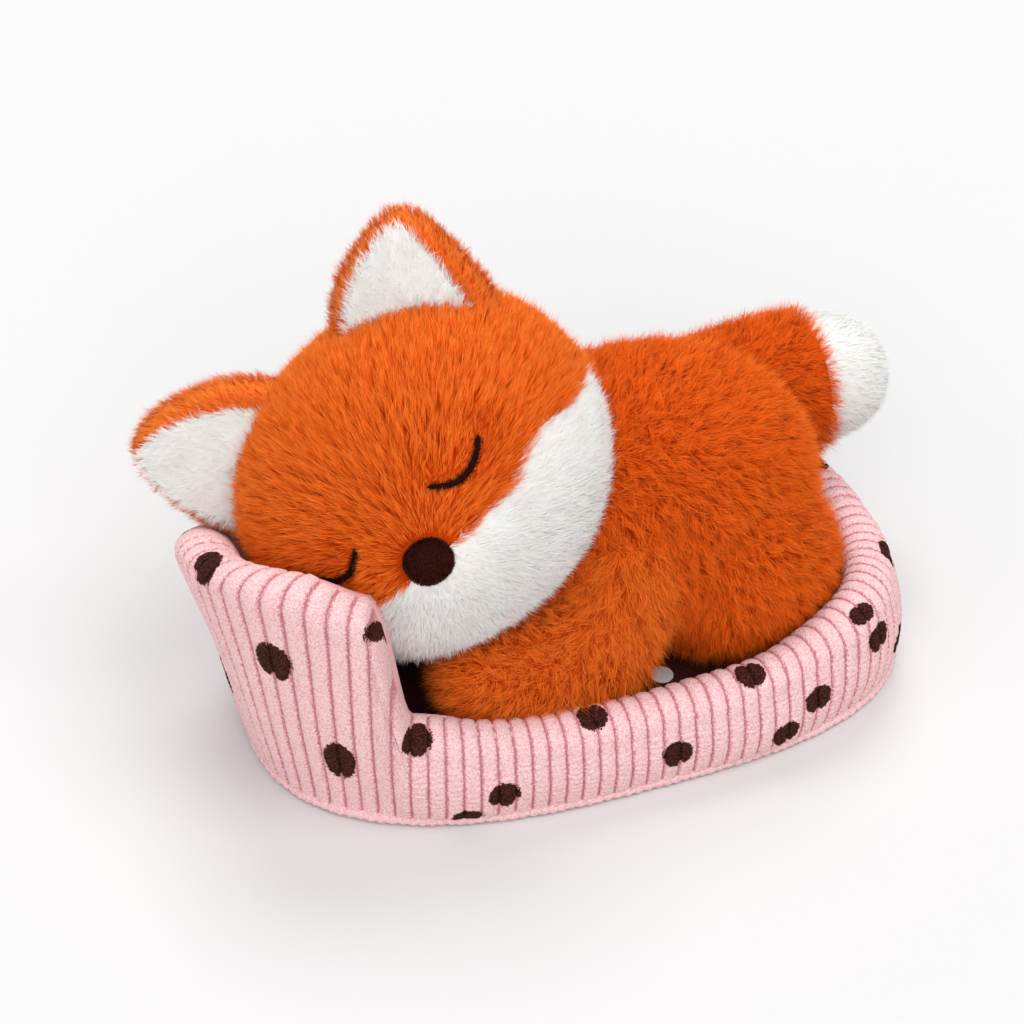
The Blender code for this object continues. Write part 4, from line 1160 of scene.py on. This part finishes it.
# floor cushion: a crowned pad with full edges, dark plush whose dark brown is painted shade
cushion = {"inset": 15.6, "low": 6.6, "edge": 3.5, "crown": 3.0, "columns": 240,
           "side": ((-2.0, 0.0), (-0.5, 0.25), (0.0, 0.9), (0.0, 2.0), (-0.3, 2.8), (-1.2, 3.4))}
rim, out = outline(evenTurns(cushion["columns"])[0], cushion["inset"])
rows = [rim + out * bulge + upward * (cushion["low"] + z) for bulge, z in cushion["side"]]
for share in np.linspace(0.95, 0.04, 26):
    lift = cushion["edge"] + cushion["crown"] * math.sqrt(1 - share ** 2) - 0.05
    rows.append(rim * share + upward * (cushion["low"] + lift))
grid = capped(np.stack(rows))
closedPiece("floor_cushion", grid.reshape(-1, 3) * mm, gridFaces(*grid.shape[:2]), cushionShadePlush, "bed",
            ["bed_floor_cushion"])

# the solids that stay as they are
for node, material in (("bed_wall_foam", foam), ("bed_base_board", foam), ("bed_bottom_panel", baseCloth),
                       ("torso_stuffing", fibre), ("head_stuffing", fibre)):
    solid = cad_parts[node].data
    solid.materials.clear()
    solid.materials.append(material)
print("bed made")


# Studio: a plain pale floor and four wide lamps, spread in degrees

studio = {
    "lamps": {"frontSoftbox": {"power": 1.15, "spread": 50, "from": (-0.20, -0.68, 0.70)},
              "leftFill": {"power": 0.50, "spread": 60, "from": (-0.80, -0.42, 0.42)},
              "sideSoftbox": {"power": 0.90, "spread": 30, "from": (0.30, -0.32, 0.90)},
              "backSoftbox": {"power": 1.15, "spread": 30, "from": (0.12, 0.45, 0.88)}},
    "world": 0.48, "backdrop": "#FAFAFA", "floor": "#D9D9D9", "floorRough": 0.95, "floorHalf": 3.0,
}
view = {"azimuth": -20, "elevation": 40, "distance": 0.85, "target": (-0.017, 0, 0.063), "lens": 106.7,
        "sensor": 36, "clip": (0.05, 20)}


def aim(thing, way):
    # turns a lamp or a camera to look against the way given
    thing.rotation_mode = "QUATERNION"
    thing.rotation_quaternion = Vector(way).to_track_quat("Z", "Y")


for name, lamp in studio["lamps"].items():
    light = bpy.data.lights.new(name, "SUN")
    light.energy = lamp["power"]
    light.angle = math.radians(lamp["spread"])
    aim(addObject(name, light), lamp["from"])

# soft light from all round, and a nearly white backdrop for what looks past the part or is mirrored in it
world = bpy.data.worlds.new("studioWorld")
bpy.context.scene.world = world
world.use_nodes = True
tree = world.node_tree
tree.nodes.clear()
rays = addNode(tree, "ShaderNodeLightPath", {}).outputs
seen = calc(tree, "MAXIMUM", rays["Is Glossy Ray"], rays["Is Transmission Ray"])
seen = calc(tree, "MAXIMUM", rays["Is Camera Ray"], seen)
soft, pale = (addNode(tree, "ShaderNodeBackground", {"Color": colour, "Strength": strength}).outputs[0]
              for colour, strength in ((tone("#FFFFFF"), studio["world"]), (tone(studio["backdrop"]), 1.0)))
both = addNode(tree, "ShaderNodeMixShader", {0: seen, 1: soft, 2: pale}).outputs[0]
addNode(tree, "ShaderNodeOutputWorld", {"Surface": both})

floorMesh = bpy.data.meshes.new("studioFloor")
half = studio["floorHalf"]
corners = [(-half, -half, 0), (half, -half, 0), (half, half, 0), (-half, half, 0)]
floorMesh.from_pydata(corners, [], [(0, 1, 2, 3)])
floor = addObject("studioFloor", floorMesh)
material, tree, shader = newMaterial("palePaper")
feed(tree, shader, {"Base Color": tone(studio["floor"]), "Roughness": studio["floorRough"],
                    "Specular IOR Level": 0.0})
floorMesh.materials.append(material)

lens = bpy.data.cameras.new("photoCamera")
lens.lens, lens.sensor_width = view["lens"], view["sensor"]
lens.clip_start, lens.clip_end = view["clip"]
camera = addObject("photoCamera", lens)
azimuth, elevation = math.radians(view["azimuth"]), math.radians(view["elevation"])
away = Vector((math.sin(azimuth) * math.cos(elevation), -math.cos(azimuth) * math.cos(elevation),
               math.sin(elevation)))
camera.location = Vector(view["target"]) + away * view["distance"]
aim(camera, away)
bpy.context.scene.camera = camera
bpy.context.scene.view_settings.view_transform = "Standard"
print("studio made")
